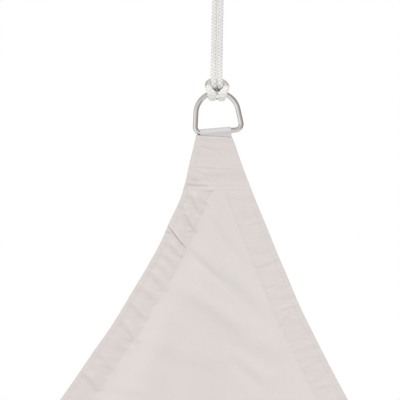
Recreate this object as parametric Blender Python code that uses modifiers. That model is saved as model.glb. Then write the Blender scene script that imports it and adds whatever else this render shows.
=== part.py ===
"""A right-angled triangular shade sail, hung by its right-angled corner from a loop of rope.

Units are metres, +Z is up and the front of the cloth faces -Y. The origin is the point of the rope's
loop that rests on a hook. The sail hangs below it in the XZ plane.

A place on the sail is written (x, z) in that plane. Each corner also has its own frame: "in" runs
from the corner's cut tip into the sail, and "across" is that way turned a quarter turn anticlockwise,
seen from the front, so it runs to the right in the top corner.
"""

import math

import bpy
import numpy as np
from mathutils import Matrix, Vector

# Whole sail
LEG = 3.000  # ring to ring, along each of the two equal sides
BASE_SLOPE = math.radians(9.2)  # of the hollow lower edge, where it meets a corner
LEG_END_SLOPE = math.radians(11.0)  # of each hollow side against its chord, at the lower corners
LEG_JOIN_SLOPE = math.radians(31.3)  # of each side against the vertical, below the shown corner
LOWER_BISECTOR = math.radians(22.5)  # of the two lower corners, against the horizontal
BELLY = 0.070  # how far the middle hangs back from the plane of the three rings

# Cloth and corner pieces
CLOTH = 0.0018  # thickness of the cloth
HEM = 0.0275  # width of the folded hem
TIP = 0.0356  # width of each corner's cut tip
PATCH = 0.0010  # thickness of the corner patch
PATCH_LONG = 0.0545  # its length, from the tip
PATCH_INSET = 0.0005
SETTLE_FROM = 0.0030  # beyond the webbing under it, the patch starts to come down to the cloth
SETTLE = 0.0120  # and it is down this much further on
GAP = 0.0003  # between pieces that touch

# Ring
WIRE = 0.005
RING_TOP_R = 0.0213  # these follow the middle of the wire
RING_CORNER_R = 0.0060
RING_HALF = 0.0230  # half the width
RING_TALL = 0.0390
BAR_OUT = 0.00484  # the bar's distance from the cloth's tip in the shown corner
LOWER_BAR_OUT = 0.0095  # and in the two lower corners

# Webbing tab
WEB = 0.0010  # thickness of one ply
WEB_WIDE = 0.0310
TAB_LONG = 0.0408  # from the ring's bar to the end of its plies inside the corner
NECK = 0.0085  # from the bar to where its two plies meet
EASE = 0.0240  # and to where the stiff cloth on both sides of them has come together
TAB_LEAVE = math.radians(42)  # round the bar, from straight in to where a ply leaves it

# Rope
ROPE = 0.0058
STRANDS = 0.0062  # between the middles of the two strands
STRAND_SHIFT = -0.0008  # of the strands, against the hitch below them
SHIFT_RISE = (5.0, 17.0)  # between these heights above the ring's wire, in millimetres, they shift
HITCH_BENDS = 3  # the rope is bent up to this many of its diameters above the ring's wire
LOOP_R = 0.0070
LOOP_SEAT = 0.1300  # from the ring's wire up to where the loop rests on its hook

# The rope's hitch, from the middle of its collar to where the strands run straight, in millimetres
# from the middle of the ring's wire: (how far to its own side the right-hand leg stands, the same for
# the left-hand leg, back, rise of the right-hand leg, rise of the left-hand leg)
HITCH_ROUTE = (
    (0.0, 0.0, 6.6, 12.3, 12.3),
    (3.6, 4.0, 6.1, 12.0, 12.3),
    (6.9, 6.9, 4.9, 10.6, 11.0),
    (9.1, 9.0, 1.9, 7.8, 8.7),
    (9.5, 9.3, -1.8, 5.2, 5.9),
    (8.9, 8.6, -5.2, 2.3, 2.7),
    (7.7, 7.4, -6.3, -1.4, -1.3),
    (6.5, 6.3, -4.4, -5.3, -5.4),
    (5.4, 5.2, -0.2, -6.9, -6.9),
    (4.4, 4.3, 4.2, -4.9, -4.9),
    (3.5, 3.5, 6.1, -0.2, -0.2),
    (3.0, 3.0, 4.7, 3.7, 3.7),
    (3.0, 3.0, 1.8, 5.5, 5.5),
    (3.0, 3.0, -2.4, 5.7, 5.7),
    (3.0, 3.0, -4.7, 7.35, 7.35),
    (3.0, 3.0, -5.2, 10.7, 10.7),
    (3.1, 3.1, -4.0, 15.9, 15.9),
    (3.1, 3.1, -2.3, 22.0, 22.0),
)
STRAND_RISES = (34.0, 50.0, 66.0, 82.0, 96.0)  # places of the straight strands above the ring's wire
SPREAD = ((4.1, 106.0), (6.0, 115.0))  # and of their spread into the loop: (to the side, rise)

# How the shown corner hangs
TIP_SHIFT = 0.00034  # of the cloth's cut tip to the right of the hitch
RING_TILT = math.radians(8.9)  # anticlockwise, seen from the front
HITCH_TURN = math.radians(4.7)  # place of the hitch on the ring's round, left of upright
ROPE_LEAN = math.radians(3.0)
TAB_SHIFT = -0.0031  # of the webbing along the ring's bar
PATCH_LEAN = math.radians(4.0)  # of the patch's lower edge, right end up

# The shown corner's outline: (distance in from the tip, left side, right side), in millimetres
SHOWN_OUTLINE = (
    (0.0, -17.9, 17.8),
    (10.0, -19.35, 22.3),
    (26.0, -22.2, 29.1),
    (52.0, -26.2, 41.3),
    (66.0, -29.9, 48.1),
    (88.0, -38.4, 59.1),
    (110.0, -46.3, 69.8),
    (135.0, -57.8, 82.6),
    (160.0, -70.5, 95.2),
    (194.0, -87.9, 114.8),
    (226.0, -107.0, 134.1),
    (255.0, -123.9, 152.2),
)

# Folds by hand in the shown corner, in millimetres:
# (across, in) where it starts, (across, in) where it ends, bow of its middle downwards, half width,
# height. The cloth stands forward above the line and back below it.
SHOWN_FOLDS = (
    ((4, 50), (20, 79), 0, 7, -0.35),
    ((0, 78), (44, 128), 0, 6, 0.45),
    ((-18.5, 112), (67.5, 180), -3, 9, 0.85),
    ((-33, 152), (83, 221), 7, 14, 1.00),
    ((-60, 209), (28, 234), 4, 13, 0.45),
    ((32, 217), (70, 247), 0, 8, 0.90),
    ((-92, 258), (-48, 266), 0, 8, 0.35),
)

# Long tension folds that fan out of the corners:
# (corner, degrees across from straight in, half width in degrees, height in mm, reach in metres)
TENSION_FOLDS = (
    ("top", -12, 5, 5, 0.75),
    ("top", 7, 6, -6, 0.90),
    ("top", 21, 4, 4, 0.70),
    ("left", -4, 2.5, -6, 0.90),
    ("left", 3, 2.5, 6, 1.10),
    ("right", -5, 2.5, 5, 1.00),
    ("right", 2, 3.0, -7, 0.90),
)

FOLDS_FROM = 0.07  # the tension folds start this far in from a tip
FOLDS_GROW = 0.25  # and have their full height this much further on
FOLDS_CLEAR = 0.05  # share of the width or height over which they die out at the hems

# Between these distances in, the cloth eases forward from behind a corner's tab
LAY_BACK = {"top": (0.040, 0.064), "left": (0.06, 0.31), "right": (0.06, 0.31)}

# Mesh of the cloth
TIP_ROWS = (0.0, 0.2, 0.45, 0.7)  # extra rows beside the ring, as shares of one row's height
SHOWN_ROWS = 26
LOWER_ROWS = 18
LAST_ROWS = (0.03, 0.012, 0.004)  # extra rows beside the lower corners, as shares of the height
HEM_ROWS = 2
HEM_COLUMNS = (0.0, 0.15, 0.5)  # as shares of the hem's width
MIDDLE_COLUMNS = 23
COLUMN_BUNCHING = 0.35
HEM_SHARE_MOST = 0.42  # of the width, where the two hems nearly meet in a corner
EDGE_STEPS = 160  # short steps along each side, from which the rows take their ends
BASE_STEPS = 2000  # and along the lower edge, for its corner patches

# Mesh of a corner patch
PATCH_ROWS = 16
PATCH_COLUMNS = 14
PATCH_BUNCHING = 1.3  # the rows lie closer together beside the ring

MM = 0.001


def turned(vector, angle):
    """A plane vector turned anticlockwise, seen from the front."""
    x, z = vector
    cos, sin = math.cos(angle), math.sin(angle)
    return np.array((x * cos - z * sin, x * sin + z * cos))


# Places from the hook down: the hitch on the ring, the ring, and the cloth's tip
UP = np.array((0.0, 1.0))
HITCH = -LOOP_SEAT * turned(UP, ROPE_LEAN) - STRAND_SHIFT * turned((1.0, 0.0), ROPE_LEAN)
RING_ROUND = HITCH - RING_TOP_R * turned(UP, HITCH_TURN)
BAR = RING_ROUND - (RING_TALL - RING_TOP_R) * turned(UP, RING_TILT)
TAB_PLACE = BAR + TAB_SHIFT * turned((1.0, 0.0), RING_TILT)
TOP_TIP = np.array((HITCH[0] + TIP_SHIFT, BAR[1] - BAR_OUT))


class Corner:
    """A corner of the sail: its tip, and the plane directions in and across."""

    def __init__(self, tip, inward):
        self.tip = np.array(tip)
        self.inward = np.array(inward)
        self.across = np.array((-inward[1], inward[0]))

    def place(self, across, inward):
        return self.tip + across * self.across + inward * self.inward

    def local(self, point):
        from_tip = np.array(point) - self.tip
        return float(from_tip @ self.across), float(from_tip @ self.inward)


def sail_corners():
    """The three corners. Their rings' far ends are the corners of a right-angled triangle."""
    reach = RING_TALL + LOWER_BAR_OUT  # from a cloth tip to the middle of the ring's round wire
    top = Corner(TOP_TIP, (0.0, -1.0))
    far = TOP_TIP + (RING_TALL + BAR_OUT) * UP
    side = LEG * math.sqrt(0.5)
    cos, sin = math.cos(LOWER_BISECTOR), math.sin(LOWER_BISECTOR)
    left_tip = far + (-side + reach * cos, -side + reach * sin)
    right_tip = far + (side - reach * cos, -side + reach * sin)
    return {"top": top, "left": Corner(left_tip, (cos, sin)), "right": Corner(right_tip, (-cos, sin))}


CORNERS = sail_corners()


def bar_places():
    """For each corner: the middle of the ring's bar, the middle of the tab on it, and their turn."""
    places = {"top": (BAR, TAB_PLACE, RING_TILT)}
    for name in ("left", "right"):
        corner = CORNERS[name]
        bar = corner.place(0.0, -LOWER_BAR_OUT)
        places[name] = (bar, bar, math.atan2(corner.inward[0], -corner.inward[1]))
    return places


BARS = bar_places()


def hermite(start, end, start_way, end_way, t):
    """A point of the smooth curve that leaves start along start_way and arrives along end_way."""
    return (
        (2 * t**3 - 3 * t**2 + 1) * start
        + (t**3 - 2 * t**2 + t) * start_way
        + (3 * t**2 - 2 * t**3) * end
        + (t**3 - t**2) * end_way
    )


def shown_half_widths(inward):
    """The outline's left and right sides at a distance in from the top tip."""
    rows = np.array(SHOWN_OUTLINE) * MM
    slopes = np.gradient(rows[:, 1:], rows[:, 0], axis=0)
    slopes[-1] = (-math.tan(LEG_JOIN_SLOPE), math.tan(LEG_JOIN_SLOPE))
    row = min(int(np.searchsorted(rows[:, 0], inward, side="right")) - 1, len(rows) - 2)
    length = rows[row + 1, 0] - rows[row, 0]
    t = (inward - rows[row, 0]) / length
    ways = slopes[row] * length, slopes[row + 1] * length
    return hermite(rows[row, 1:], rows[row + 1, 1:], *ways, t)


def side_edge(side):
    """Points down the left (-1) or right (+1) edge, as far as the lower corner's tip."""
    shown_end = SHOWN_OUTLINE[-1][0] * MM
    points = []
    for inward in np.linspace(0.0, shown_end, EDGE_STEPS // 2, endpoint=False):
        widths = shown_half_widths(inward)
        points.append(TOP_TIP + (widths[0 if side < 0 else 1], -inward))
    start = TOP_TIP + (shown_half_widths(shown_end)[0 if side < 0 else 1], -shown_end)
    corner = CORNERS["left" if side < 0 else "right"]
    end = corner.place(-side * TIP / 2, 0.0)
    chord = float(np.linalg.norm(end - start))
    start_way = np.array((side * math.sin(LEG_JOIN_SLOPE), -math.cos(LEG_JOIN_SLOPE)))
    end_slope = math.radians(45) + LEG_END_SLOPE
    end_way = np.array((side * math.sin(end_slope), -math.cos(end_slope)))
    for t in np.linspace(0.0, 1.0, EDGE_STEPS):
        points.append(hermite(start, end, chord * start_way, chord * end_way, t))
    return np.array(points)


LEFT_EDGE = side_edge(-1)
RIGHT_EDGE = side_edge(+1)
BASE_LEFT = CORNERS["left"].place(-TIP / 2, 0.0)
BASE_RIGHT = CORNERS["right"].place(TIP / 2, 0.0)
BASE_RISE = math.tan(BASE_SLOPE) / 4 * float(BASE_RIGHT[0] - BASE_LEFT[0])


def row_places():
    """How far down each side a row ends, as a share of the side's height: close together at the top."""
    height = float(LEFT_EDGE[0, 1] - LEFT_EDGE[-1, 1])
    shown = SHOWN_OUTLINE[-1][0] * MM / height
    first = shown / SHOWN_ROWS
    shares = [first * part for part in TIP_ROWS] + list(np.linspace(first, shown, SHOWN_ROWS))
    left = 1.0 - shown
    growth = 1.0
    while first * sum(growth**n for n in range(1, LOWER_ROWS + 1)) < left:
        growth += 0.0005
    steps = np.array([growth**n for n in range(1, LOWER_ROWS + 1)])
    lower = list(shown + left * np.cumsum(steps) / steps.sum())
    return shares + lower[:-1] + [1.0 - share for share in LAST_ROWS] + [1.0]


def at_height(edge, z):
    """The point of a side edge at a height."""
    return np.array((np.interp(-z, -edge[:, 1], edge[:, 0]), z))


def row_line(share, into_hem=0.0):
    """A row's left end, right end and rise in its middle. into_hem is 0 to 1 across the lower hem."""
    top, bottom = LEFT_EDGE[0, 1], LEFT_EDGE[-1, 1]
    height = top + share * (bottom - top)
    left, right = at_height(LEFT_EDGE, height), at_height(RIGHT_EDGE, height)
    left = left + into_hem * (BASE_LEFT - left)
    right = right + into_hem * (BASE_RIGHT - right)
    middle_drop = (1 - into_hem) * (TIP * math.cos(LOWER_BISECTOR) - HEM)
    rise = (BASE_RISE - middle_drop) * share**3
    return left, right, rise


def column_places(left, right, rise):
    """Shares across a row at which its columns stand, with the hems' inner edges among them."""
    width = float(right[0] - left[0])
    end_slope = 4 * rise / width
    row_way = np.array((1.0, end_slope)) / math.hypot(1.0, end_slope)
    hems = []
    for edge, end, way in ((LEFT_EDGE, left, row_way), (RIGHT_EDGE, right, row_way * (-1.0, 1.0))):
        below, above = at_height(edge, end[1] - WIRE), at_height(edge, end[1] + WIRE)
        edge_way = (below - above) / np.linalg.norm(below - above)
        sine = abs(way[0] * edge_way[1] - way[1] * edge_way[0])
        hems.append(min(HEM / sine / width, HEM_SHARE_MOST))
    inner_left, inner_right = hems[0], 1.0 - hems[1]
    even = np.linspace(0.0, 1.0, MIDDLE_COLUMNS + 1)
    middle = even - COLUMN_BUNCHING * np.sin(2 * np.pi * even) / (2 * np.pi)
    return np.concatenate(
        (
            inner_left * np.array(HEM_COLUMNS),
            inner_left + (inner_right - inner_left) * middle,
            1.0 - hems[1] * np.array(HEM_COLUMNS[::-1]),
        )
    )


def soft_fold(across, inward, start, end, bow, half_width):
    """1 on the crest above a fold's line, -1 in the trough below it, and smooth between and around."""
    start, end, point = Vector(start) * MM, Vector(end) * MM, Vector((across, inward))
    along = end - start
    below = Vector((-along.y, along.x)) / along.length
    share = min(max((point - start).dot(along) / along.length_squared, 0.0), 1.0)
    past_line = (point - start).dot(below) - bow * MM * 4 * share * (1 - share)
    from_line = past_line / (half_width * MM)
    ends = math.sin(math.pi * share) ** 0.5
    return -ends * math.sqrt(2 * math.e) * from_line * math.exp(-(from_line**2))


def tension_fold(corner, point, angle, half_angle, reach):
    """1 along a fold that fans out of a corner, growing from the tip and dying out past its reach."""
    across, inward = CORNERS[corner].local(point)
    distance = math.hypot(across, inward) / reach
    turn = math.degrees(math.atan2(across, max(inward, 1e-6))) - angle
    along = (3 * distance * math.exp(1 - 3 * distance)) ** 2
    grown = step((inward - FOLDS_FROM) / FOLDS_GROW)
    return along * grown * math.exp(-((turn / half_angle) ** 2))


def step(value):
    """0 below 0, 1 above 1, and smooth between."""
    value = min(max(value, 0.0), 1.0)
    return value * value * (3 - 2 * value)


def cloth_depth(point, share_across, share_down):
    """How far back the middle of the cloth lies at a place, from the plane of the rings."""
    across, inward = CORNERS["top"].local(point)
    back = BELLY * math.sin(math.pi * share_across) * math.sin(math.pi * share_down) ** 3
    for start, end, bow, half_width, height in SHOWN_FOLDS:
        back -= height * MM * soft_fold(across, inward, start, end, bow, half_width)
    hem = min(share_across, 1 - share_across, 1 - share_down)
    for corner, angle, half_angle, height, reach in TENSION_FOLDS:
        fold = tension_fold(corner, point, angle, half_angle, reach)
        back -= height * MM * fold * step(hem / FOLDS_CLEAR)
    nearest = min(CORNERS, key=lambda name: CORNERS[name].local(point)[1])
    past = CORNERS[nearest].local(point)[1]
    behind_tab = room_for_tab(nearest, point) + 1.5 * GAP + CLOTH / 2
    low, high = LAY_BACK[nearest]
    return back + behind_tab * (1 - step((past - low) / (high - low)))


def named_material(name, colour, roughness, metallic=0.0):
    """A plain surface of one colour."""
    material = bpy.data.materials.new(name)
    material.use_nodes = True
    shader = material.node_tree.nodes["Principled BSDF"]
    shader.inputs["Base Color"].default_value = (*colour, 1.0)
    shader.inputs["Roughness"].default_value = roughness
    shader.inputs["Metallic"].default_value = metallic
    return material


def new_object(name, data, material, parts):
    """An object of the model, in its collection."""
    made = bpy.data.objects.new(name, data)
    if not data.materials:
        data.materials.append(material)
    parts.objects.link(made)
    return made


def sheet_mesh(name, rows):
    """An open sheet through equal rows of points."""
    wide = len(rows[0])
    points = [tuple(point) for row in rows for point in row]
    faces = []
    for down in range(len(rows) - 1):
        for right in range(wide - 1):
            first = down * wide + right
            faces.append((first, first + wide, first + wide + 1, first + 1))
    mesh = bpy.data.meshes.new(name)
    mesh.from_pydata(points, [], faces)
    mesh.shade_smooth()
    return mesh


def thicken(sheet, thickness):
    """Gives an open sheet its thickness, half on each side."""
    solid = sheet.modifiers.new("Thickness", "SOLIDIFY")
    solid.thickness = thickness
    solid.offset = 0.0


def make_cloth(material, parts):
    """The sail's one panel, with its hems."""
    lines = [(share, row_line(share)) for share in row_places()]
    for hem_row in range(1, HEM_ROWS + 1):
        lines.append((1.0, row_line(1.0, hem_row / HEM_ROWS)))
    rows = []
    base_height = float(TOP_TIP[1] - BASE_LEFT[1])
    for _, (left, right, rise) in lines:
        row = []
        for share in column_places(left, right, rise):
            x, z = left + share * (right - left)
            z += 4 * rise * share * (1 - share)
            down = min((TOP_TIP[1] - z) / (base_height - BASE_RISE * 4 * share * (1 - share)), 1.0)
            row.append((x, cloth_depth((x, z), share, down), z))
        rows.append(row)
    cloth = new_object("sail_cloth", sheet_mesh("sail_cloth", rows), material, parts)
    thicken(cloth, CLOTH)


def tab_local(corner_name, point):
    """A place as (along the ring's bar from the tab's middle, in from the bar)."""
    _, middle, turn = BARS[corner_name]
    from_bar = np.array(point) - middle
    return float(from_bar @ turned((1.0, 0.0), turn)), float(-from_bar @ turned(UP, turn))


def room_for_tab(corner_name, point):
    """Half the room that the cloth on both sides leaves for the webbing tab at a place."""
    inward = tab_local(corner_name, point)[1]
    loop = WIRE / 2 + GAP + WEB
    leave_in, leave_half = loop * math.cos(TAB_LEAVE), loop * math.sin(TAB_LEAVE)
    half_way = math.sqrt(loop**2 - (leave_in / 2) ** 2)
    places, halves = (0.0, leave_in / 2, leave_in, EASE), (loop, half_way, leave_half, WEB)
    return float(np.interp(inward, places, halves))


def sides_near(corner_name, inward):
    """The outline's two sides at a distance in from a corner's tip, as distances across."""
    corner = CORNERS[corner_name]
    spread = np.linspace(0.0, 1.0, BASE_STEPS)[:, None]
    base = BASE_LEFT + spread * (BASE_RIGHT - BASE_LEFT)
    base[:, 1] += 4 * BASE_RISE * (spread * (1 - spread))[:, 0]
    edges = {
        "top": (LEFT_EDGE, RIGHT_EDGE),
        "left": (LEFT_EDGE[::-1], base),
        "right": (base[::-1], RIGHT_EDGE[::-1]),
    }
    sides = []
    for edge in edges[corner_name]:
        local = (edge - corner.tip) @ np.column_stack((corner.across, corner.inward))
        near = local[: EDGE_STEPS // 3]
        sides.append(float(np.interp(inward, near[:, 1], near[:, 0])))
    return min(sides), max(sides)


def make_patch(corner_name, lean, material, parts):
    """The doubling patch on a corner's front, raised where the webbing lies under it."""
    corner = CORNERS[corner_name]
    rows = []
    for down in np.linspace(0.0, 1.0, PATCH_ROWS + 1) ** PATCH_BUNCHING:
        row = []
        for share in np.linspace(0.0, 1.0, PATCH_COLUMNS + 1):
            inward = PATCH_INSET + down * (PATCH_LONG - PATCH_INSET)
            low, high = sides_near(corner_name, inward)
            low, high = low + PATCH_INSET, high - PATCH_INSET
            across = low + share * (high - low)
            inward -= down * across * math.tan(lean)
            x, z = corner.place(across, inward)
            from_middle, from_bar = tab_local(corner_name, (x, z))
            past_end = step((from_bar - TAB_LONG - SETTLE_FROM) / SETTLE)
            past_side = step((abs(from_middle) - WEB_WIDE / 2 - SETTLE_FROM) / SETTLE)
            settled = max(past_end, past_side)
            over_web = -(room_for_tab(corner_name, (x, z)) + 1.5 * GAP + PATCH / 2)
            on_cloth = cloth_depth((x, z), share, 0.0) - CLOTH / 2 - 2 * GAP - PATCH / 2
            row.append((x, over_web + settled * (on_cloth - over_web), z))
        rows.append(row)
    patch = new_object("patch_" + corner_name, sheet_mesh("patch_" + corner_name, rows), material, parts)
    thicken(patch, PATCH)


def arc(centre, radius, start, end, count):
    """Points along a round stretch, with angles anticlockwise from the right."""
    angles = np.linspace(start, end, count)
    return [(centre[0] + radius * math.cos(a), centre[1] + radius * math.sin(a)) for a in angles]


def ring_line():
    """The middle of the ring's wire, with its bar along the bottom and the bar's middle at (0, 0)."""
    high = RING_TALL - RING_TOP_R
    across, down = RING_HALF - RING_CORNER_R, high - RING_CORNER_R
    between = math.hypot(across, down)
    flare = math.acos((RING_TOP_R - RING_CORNER_R) / between) - math.atan2(down, across)
    line = arc((0.0, high), RING_TOP_R, flare, math.pi - flare, 19)
    line += arc((-across, RING_CORNER_R), RING_CORNER_R, math.pi - flare, 1.5 * math.pi, 7)
    line += arc((across, RING_CORNER_R), RING_CORNER_R, -0.5 * math.pi, flare, 7)
    return line


def curve_data(name, points, radius, closed):
    """A round tube along points (x, y, z)."""
    curve = bpy.data.curves.new(name, "CURVE")
    curve.dimensions = "3D"
    curve.bevel_depth = radius
    curve.bevel_resolution = 2
    curve.use_fill_caps = not closed
    spline = curve.splines.new("POLY")
    spline.points.add(len(points) - 1)
    for place, (x, y, z) in zip(spline.points, points):
        place.co = (x, y, z, 1.0)
    spline.use_cyclic_u = closed
    spline.use_smooth = True
    return curve


def stand_on(made, place, turn):
    """Puts an object drawn upright in the XZ plane at a plane place, turned anticlockwise."""
    made.matrix_world = Matrix.Translation((place[0], 0.0, place[1])) @ Matrix.Rotation(-turn, 4, "Y")


def make_rings(material, parts):
    """A ring of bent wire at each corner."""
    points = [(x, 0.0, z) for x, z in ring_line()]
    shape = curve_data("ring", points, WIRE / 2, closed=True)
    for name, (bar, _, turn) in BARS.items():
        stand_on(new_object("ring_" + name, shape, material, parts), bar, turn)


def tab_outline():
    """The webbing's side view round the bar: (out of the corner, back), with the bar at (0, 0)."""
    radius = WIRE / 2 + GAP + WEB
    loop = arc((0.0, 0.0), radius, -math.pi + TAB_LEAVE, math.pi - TAB_LEAVE, 17)
    return [(-TAB_LONG, -WEB), (-NECK, -WEB), *loop, (-NECK, WEB), (-TAB_LONG, WEB)]


def make_tabs(material, parts):
    """A webbing strap folded round each ring's bar, its two plies sewn into the corner."""
    shape = bpy.data.curves.new("tab", "CURVE")
    shape.dimensions = "2D"
    shape.fill_mode = "BOTH"
    shape.extrude = WEB_WIDE / 2
    hole = arc((0.0, 0.0), WIRE / 2 + GAP, 2 * math.pi, 2 * math.pi / 16, 16)
    for outline in (tab_outline(), hole):
        spline = shape.splines.new("POLY")
        spline.points.add(len(outline) - 1)
        for place, (out, back) in zip(spline.points, outline):
            place.co = (out, back, 0.0, 1.0)
        spline.use_cyclic_u = True
    upright = Matrix(((0, 0, -1, 0), (0, 1, 0, 0), (1, 0, 0, 0), (0, 0, 0, 1)))
    for name, (_, place, turn) in BARS.items():
        tab = new_object("tab_" + name, shape, material, parts)
        stand_on(tab, place, turn)
        tab.matrix_world = tab.matrix_world @ upright


def rope_route(side):
    """The right (+1) or left (-1) half of the rope, in millimetres from the ring's wire: (x, back, up).

    It starts in the middle of the hitch's collar, goes round an ear and down in front of the wire,
    under it and up behind it, over it beside the other leg, and then straight up to the loop.
    """
    loop = LOOP_R / MM
    loop_middle = LOOP_SEAT / MM + ROPE / 2 / MM - loop
    route = []
    for right, left, back, right_up, left_up in HITCH_ROUTE:
        route.append((right, back, right_up) if side > 0 else (-left, back, left_up))
    route += [(side * STRANDS / 2 / MM, 0.0, up) for up in STRAND_RISES]
    route += [(side * out, 0.0, up) for out, up in SPREAD]
    top = arc((0.0, loop_middle), loop, 0.0, math.pi / 2, 4)
    return route + [(side * out, 0.0, up) for out, up in top]


def smooth_line(points, steps):
    """A smooth curve through points, with a number of steps from each one to the next."""
    points = [Vector(point) for point in points]
    padded = [2 * points[0] - points[1], *points, 2 * points[-1] - points[-2]]
    line = []
    for place, count in enumerate(steps):
        before, start, end, after = padded[place : place + 4]
        for t in np.linspace(0.0, 1.0, count, endpoint=False):
            line.append(hermite(start, end, (end - before) / 2, (after - start) / 2, float(t)))
    return [*line, points[-1]]


def make_rope(material, parts):
    """The rope: a cow hitch on the ring, two strands, and the loop that hangs on a hook."""
    shift = STRAND_SHIFT / MM
    route = [*rope_route(+1), *rope_route(-1)[-2::-1]]
    low, high = SHIFT_RISE
    route = [(x + shift * step((z - low) / (high - low)), y, z) for x, y, z in route]
    in_hitch = ROPE * HITCH_BENDS / MM
    steps = [2 if max(start[2], end[2]) < in_hitch else 1 for start, end in zip(route, route[1:])]
    line = smooth_line(route, steps)
    line[0] = line[0] + Vector((GAP / 2 / MM, 0.0, 0.0))  # the two fused ends meet here, face to face
    line[-1] = line[-1] - Vector((GAP / 2 / MM, 0.0, 0.0))
    points = [tuple(point * MM) for point in line]
    shape = curve_data("hanging_rope", points, ROPE / 2, closed=False)
    rope = new_object("hanging_rope", shape, material, parts)
    stand_on(rope, HITCH, ROPE_LEAN)


def main():
    for old in list(bpy.data.objects):
        bpy.data.objects.remove(old)
    parts = bpy.data.collections.new("shade_sail")
    bpy.context.scene.collection.children.link(parts)
    cloth = named_material("Cream sailcloth", (0.74, 0.68, 0.65), 0.85)
    webbing = named_material("White webbing", (0.80, 0.78, 0.80), 0.80)
    steel = named_material("Steel wire", (0.66, 0.64, 0.62), 0.25, metallic=1.0)
    rope = named_material("White rope", (0.80, 0.80, 0.79), 0.75)
    make_cloth(cloth, parts)
    for corner_name in CORNERS:
        make_patch(corner_name, PATCH_LEAN if corner_name == "top" else 0.0, cloth, parts)
    make_rings(steel, parts)
    make_tabs(webbing, parts)
    make_rope(rope, parts)


main()
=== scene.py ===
"""The looks of a triangular shade sail that hangs by its right-angled corner from a doubled rope.

Metres, +Z up, the front of the cloth faces -Y. The origin is where the rope's loop rests on its hook.
A place on the sail is written (x, z) in its plane. In a corner's own frame "in" runs from the cut tip
into the sail, and "across" is that way turned a quarter turn anticlockwise, seen from the front.
"""

import math

import bpy
import numpy as np
from mathutils import Matrix, Vector


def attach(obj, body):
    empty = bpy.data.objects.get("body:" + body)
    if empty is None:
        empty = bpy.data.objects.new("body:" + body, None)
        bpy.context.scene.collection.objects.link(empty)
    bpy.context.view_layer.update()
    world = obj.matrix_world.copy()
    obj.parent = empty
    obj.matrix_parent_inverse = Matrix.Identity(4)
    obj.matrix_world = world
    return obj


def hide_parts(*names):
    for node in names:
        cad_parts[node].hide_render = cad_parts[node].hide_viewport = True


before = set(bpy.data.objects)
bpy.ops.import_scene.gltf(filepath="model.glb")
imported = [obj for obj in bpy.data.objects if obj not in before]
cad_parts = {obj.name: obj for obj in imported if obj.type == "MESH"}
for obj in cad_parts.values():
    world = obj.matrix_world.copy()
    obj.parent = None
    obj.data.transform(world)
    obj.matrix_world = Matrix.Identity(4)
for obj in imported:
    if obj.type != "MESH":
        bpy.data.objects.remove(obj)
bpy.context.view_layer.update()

MM = 0.001

# ---------------------------------------------------------------- sizes of the sail

LEG = 3.000  # ring to ring, along each of the two equal sides
BASE_SLOPE = math.radians(9.2)  # of the hollow lower edge, at its ends
LEG_END_SLOPE = math.radians(11.0)  # how much flatter than 45 degrees a side reaches its lower corner
LEG_JOIN_SLOPE = math.radians(31.3)  # of the sides from straight down, where the shown outline ends
LOWER_BISECTOR = math.radians(22.5)  # of the way into the sail at the lower corners, from level
BELLY = 0.070  # how far back the cloth hangs

CLOTH = 0.0018
HEM = 0.0275
TIP = 0.0356  # width of a lower corner's cut tip
PATCH_LONG = 0.0545
PATCH_INSET = 0.0005  # from the tip to the patch's upper edge
SETTLE_FROM = 0.0030  # how far beside the webbing the patch starts to come down to the cloth
SETTLE = 0.0120  # and the width in which it does
GAP = 0.0003

# The ring, by the middle of its wire
WIRE = 0.005
RING_TOP_R = 0.0213
RING_CORNER_R = 0.0060
RING_HALF = 0.0230
RING_TALL = 0.0390
BAR_OUT = 0.00484  # from the shown tip out to the ring's bar
LOWER_BAR_OUT = 0.0095

WEB = 0.0010  # thickness of one ply of the webbing
WEB_WIDE = 0.0310
TAB_LONG = 0.0408  # from the bar to the ends of the plies
CLOSED = 0.0240  # from the bar to where the cloth has closed on the plies
NECK = 0.0085  # from the bar to where the plies meet
TAB_LEAVE = math.radians(42)  # from straight in to where a ply leaves the bar

ROPE = 0.0058
STRANDS = 0.0062  # from the middle of one hanging strand to the middle of the other
STRAND_SHIFT = -0.0008  # of the strands to the right of the hitch's middle
SHIFT_RISE = (5.0, 17.0)  # the rises between which they come over, in millimetres
LOOP_R = 0.0070
LOOP_SEAT = 0.1300  # from the middle of the ring's wire up to the hook

# The rope's hitch, from the middle of its collar to where the strands run straight, in millimetres
# from the middle of the ring's wire: (how far to its own side the right-hand leg stands, the same for
# the left-hand leg, back, rise of the right-hand leg, rise of the left-hand leg)
HITCH_ROUTE = (
    (0.0, 0.0, 6.6, 12.3, 12.3),
    (3.6, 4.0, 6.1, 12.0, 12.3),
    (6.9, 6.9, 4.9, 10.6, 11.0),
    (9.1, 9.0, 1.9, 7.8, 8.7),
    (9.5, 9.3, -1.8, 5.2, 5.9),
    (8.9, 8.6, -5.2, 2.3, 2.7),
    (7.7, 7.4, -6.3, -1.4, -1.3),
    (6.5, 6.3, -4.4, -5.3, -5.4),
    (5.4, 5.2, -0.2, -6.9, -6.9),
    (4.4, 4.3, 4.2, -4.9, -4.9),
    (3.5, 3.5, 6.1, -0.2, -0.2),
    (3.0, 3.0, 4.7, 3.7, 3.7),
    (3.0, 3.0, 1.8, 5.5, 5.5),
    (3.0, 3.0, -2.4, 5.7, 5.7),
    (3.0, 3.0, -4.7, 7.35, 7.35),
    (3.0, 3.0, -5.2, 10.7, 10.7),
    (3.1, 3.1, -4.0, 15.9, 15.9),
    (3.1, 3.1, -2.3, 22.0, 22.0),
)
STRAND_RISES = (34.0, 50.0, 66.0, 82.0, 96.0)  # places of the straight strands above the ring's wire
SPREAD = ((4.1, 106.0), (6.0, 115.0))  # and of their spread into the loop: (to the side, rise)

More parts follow.
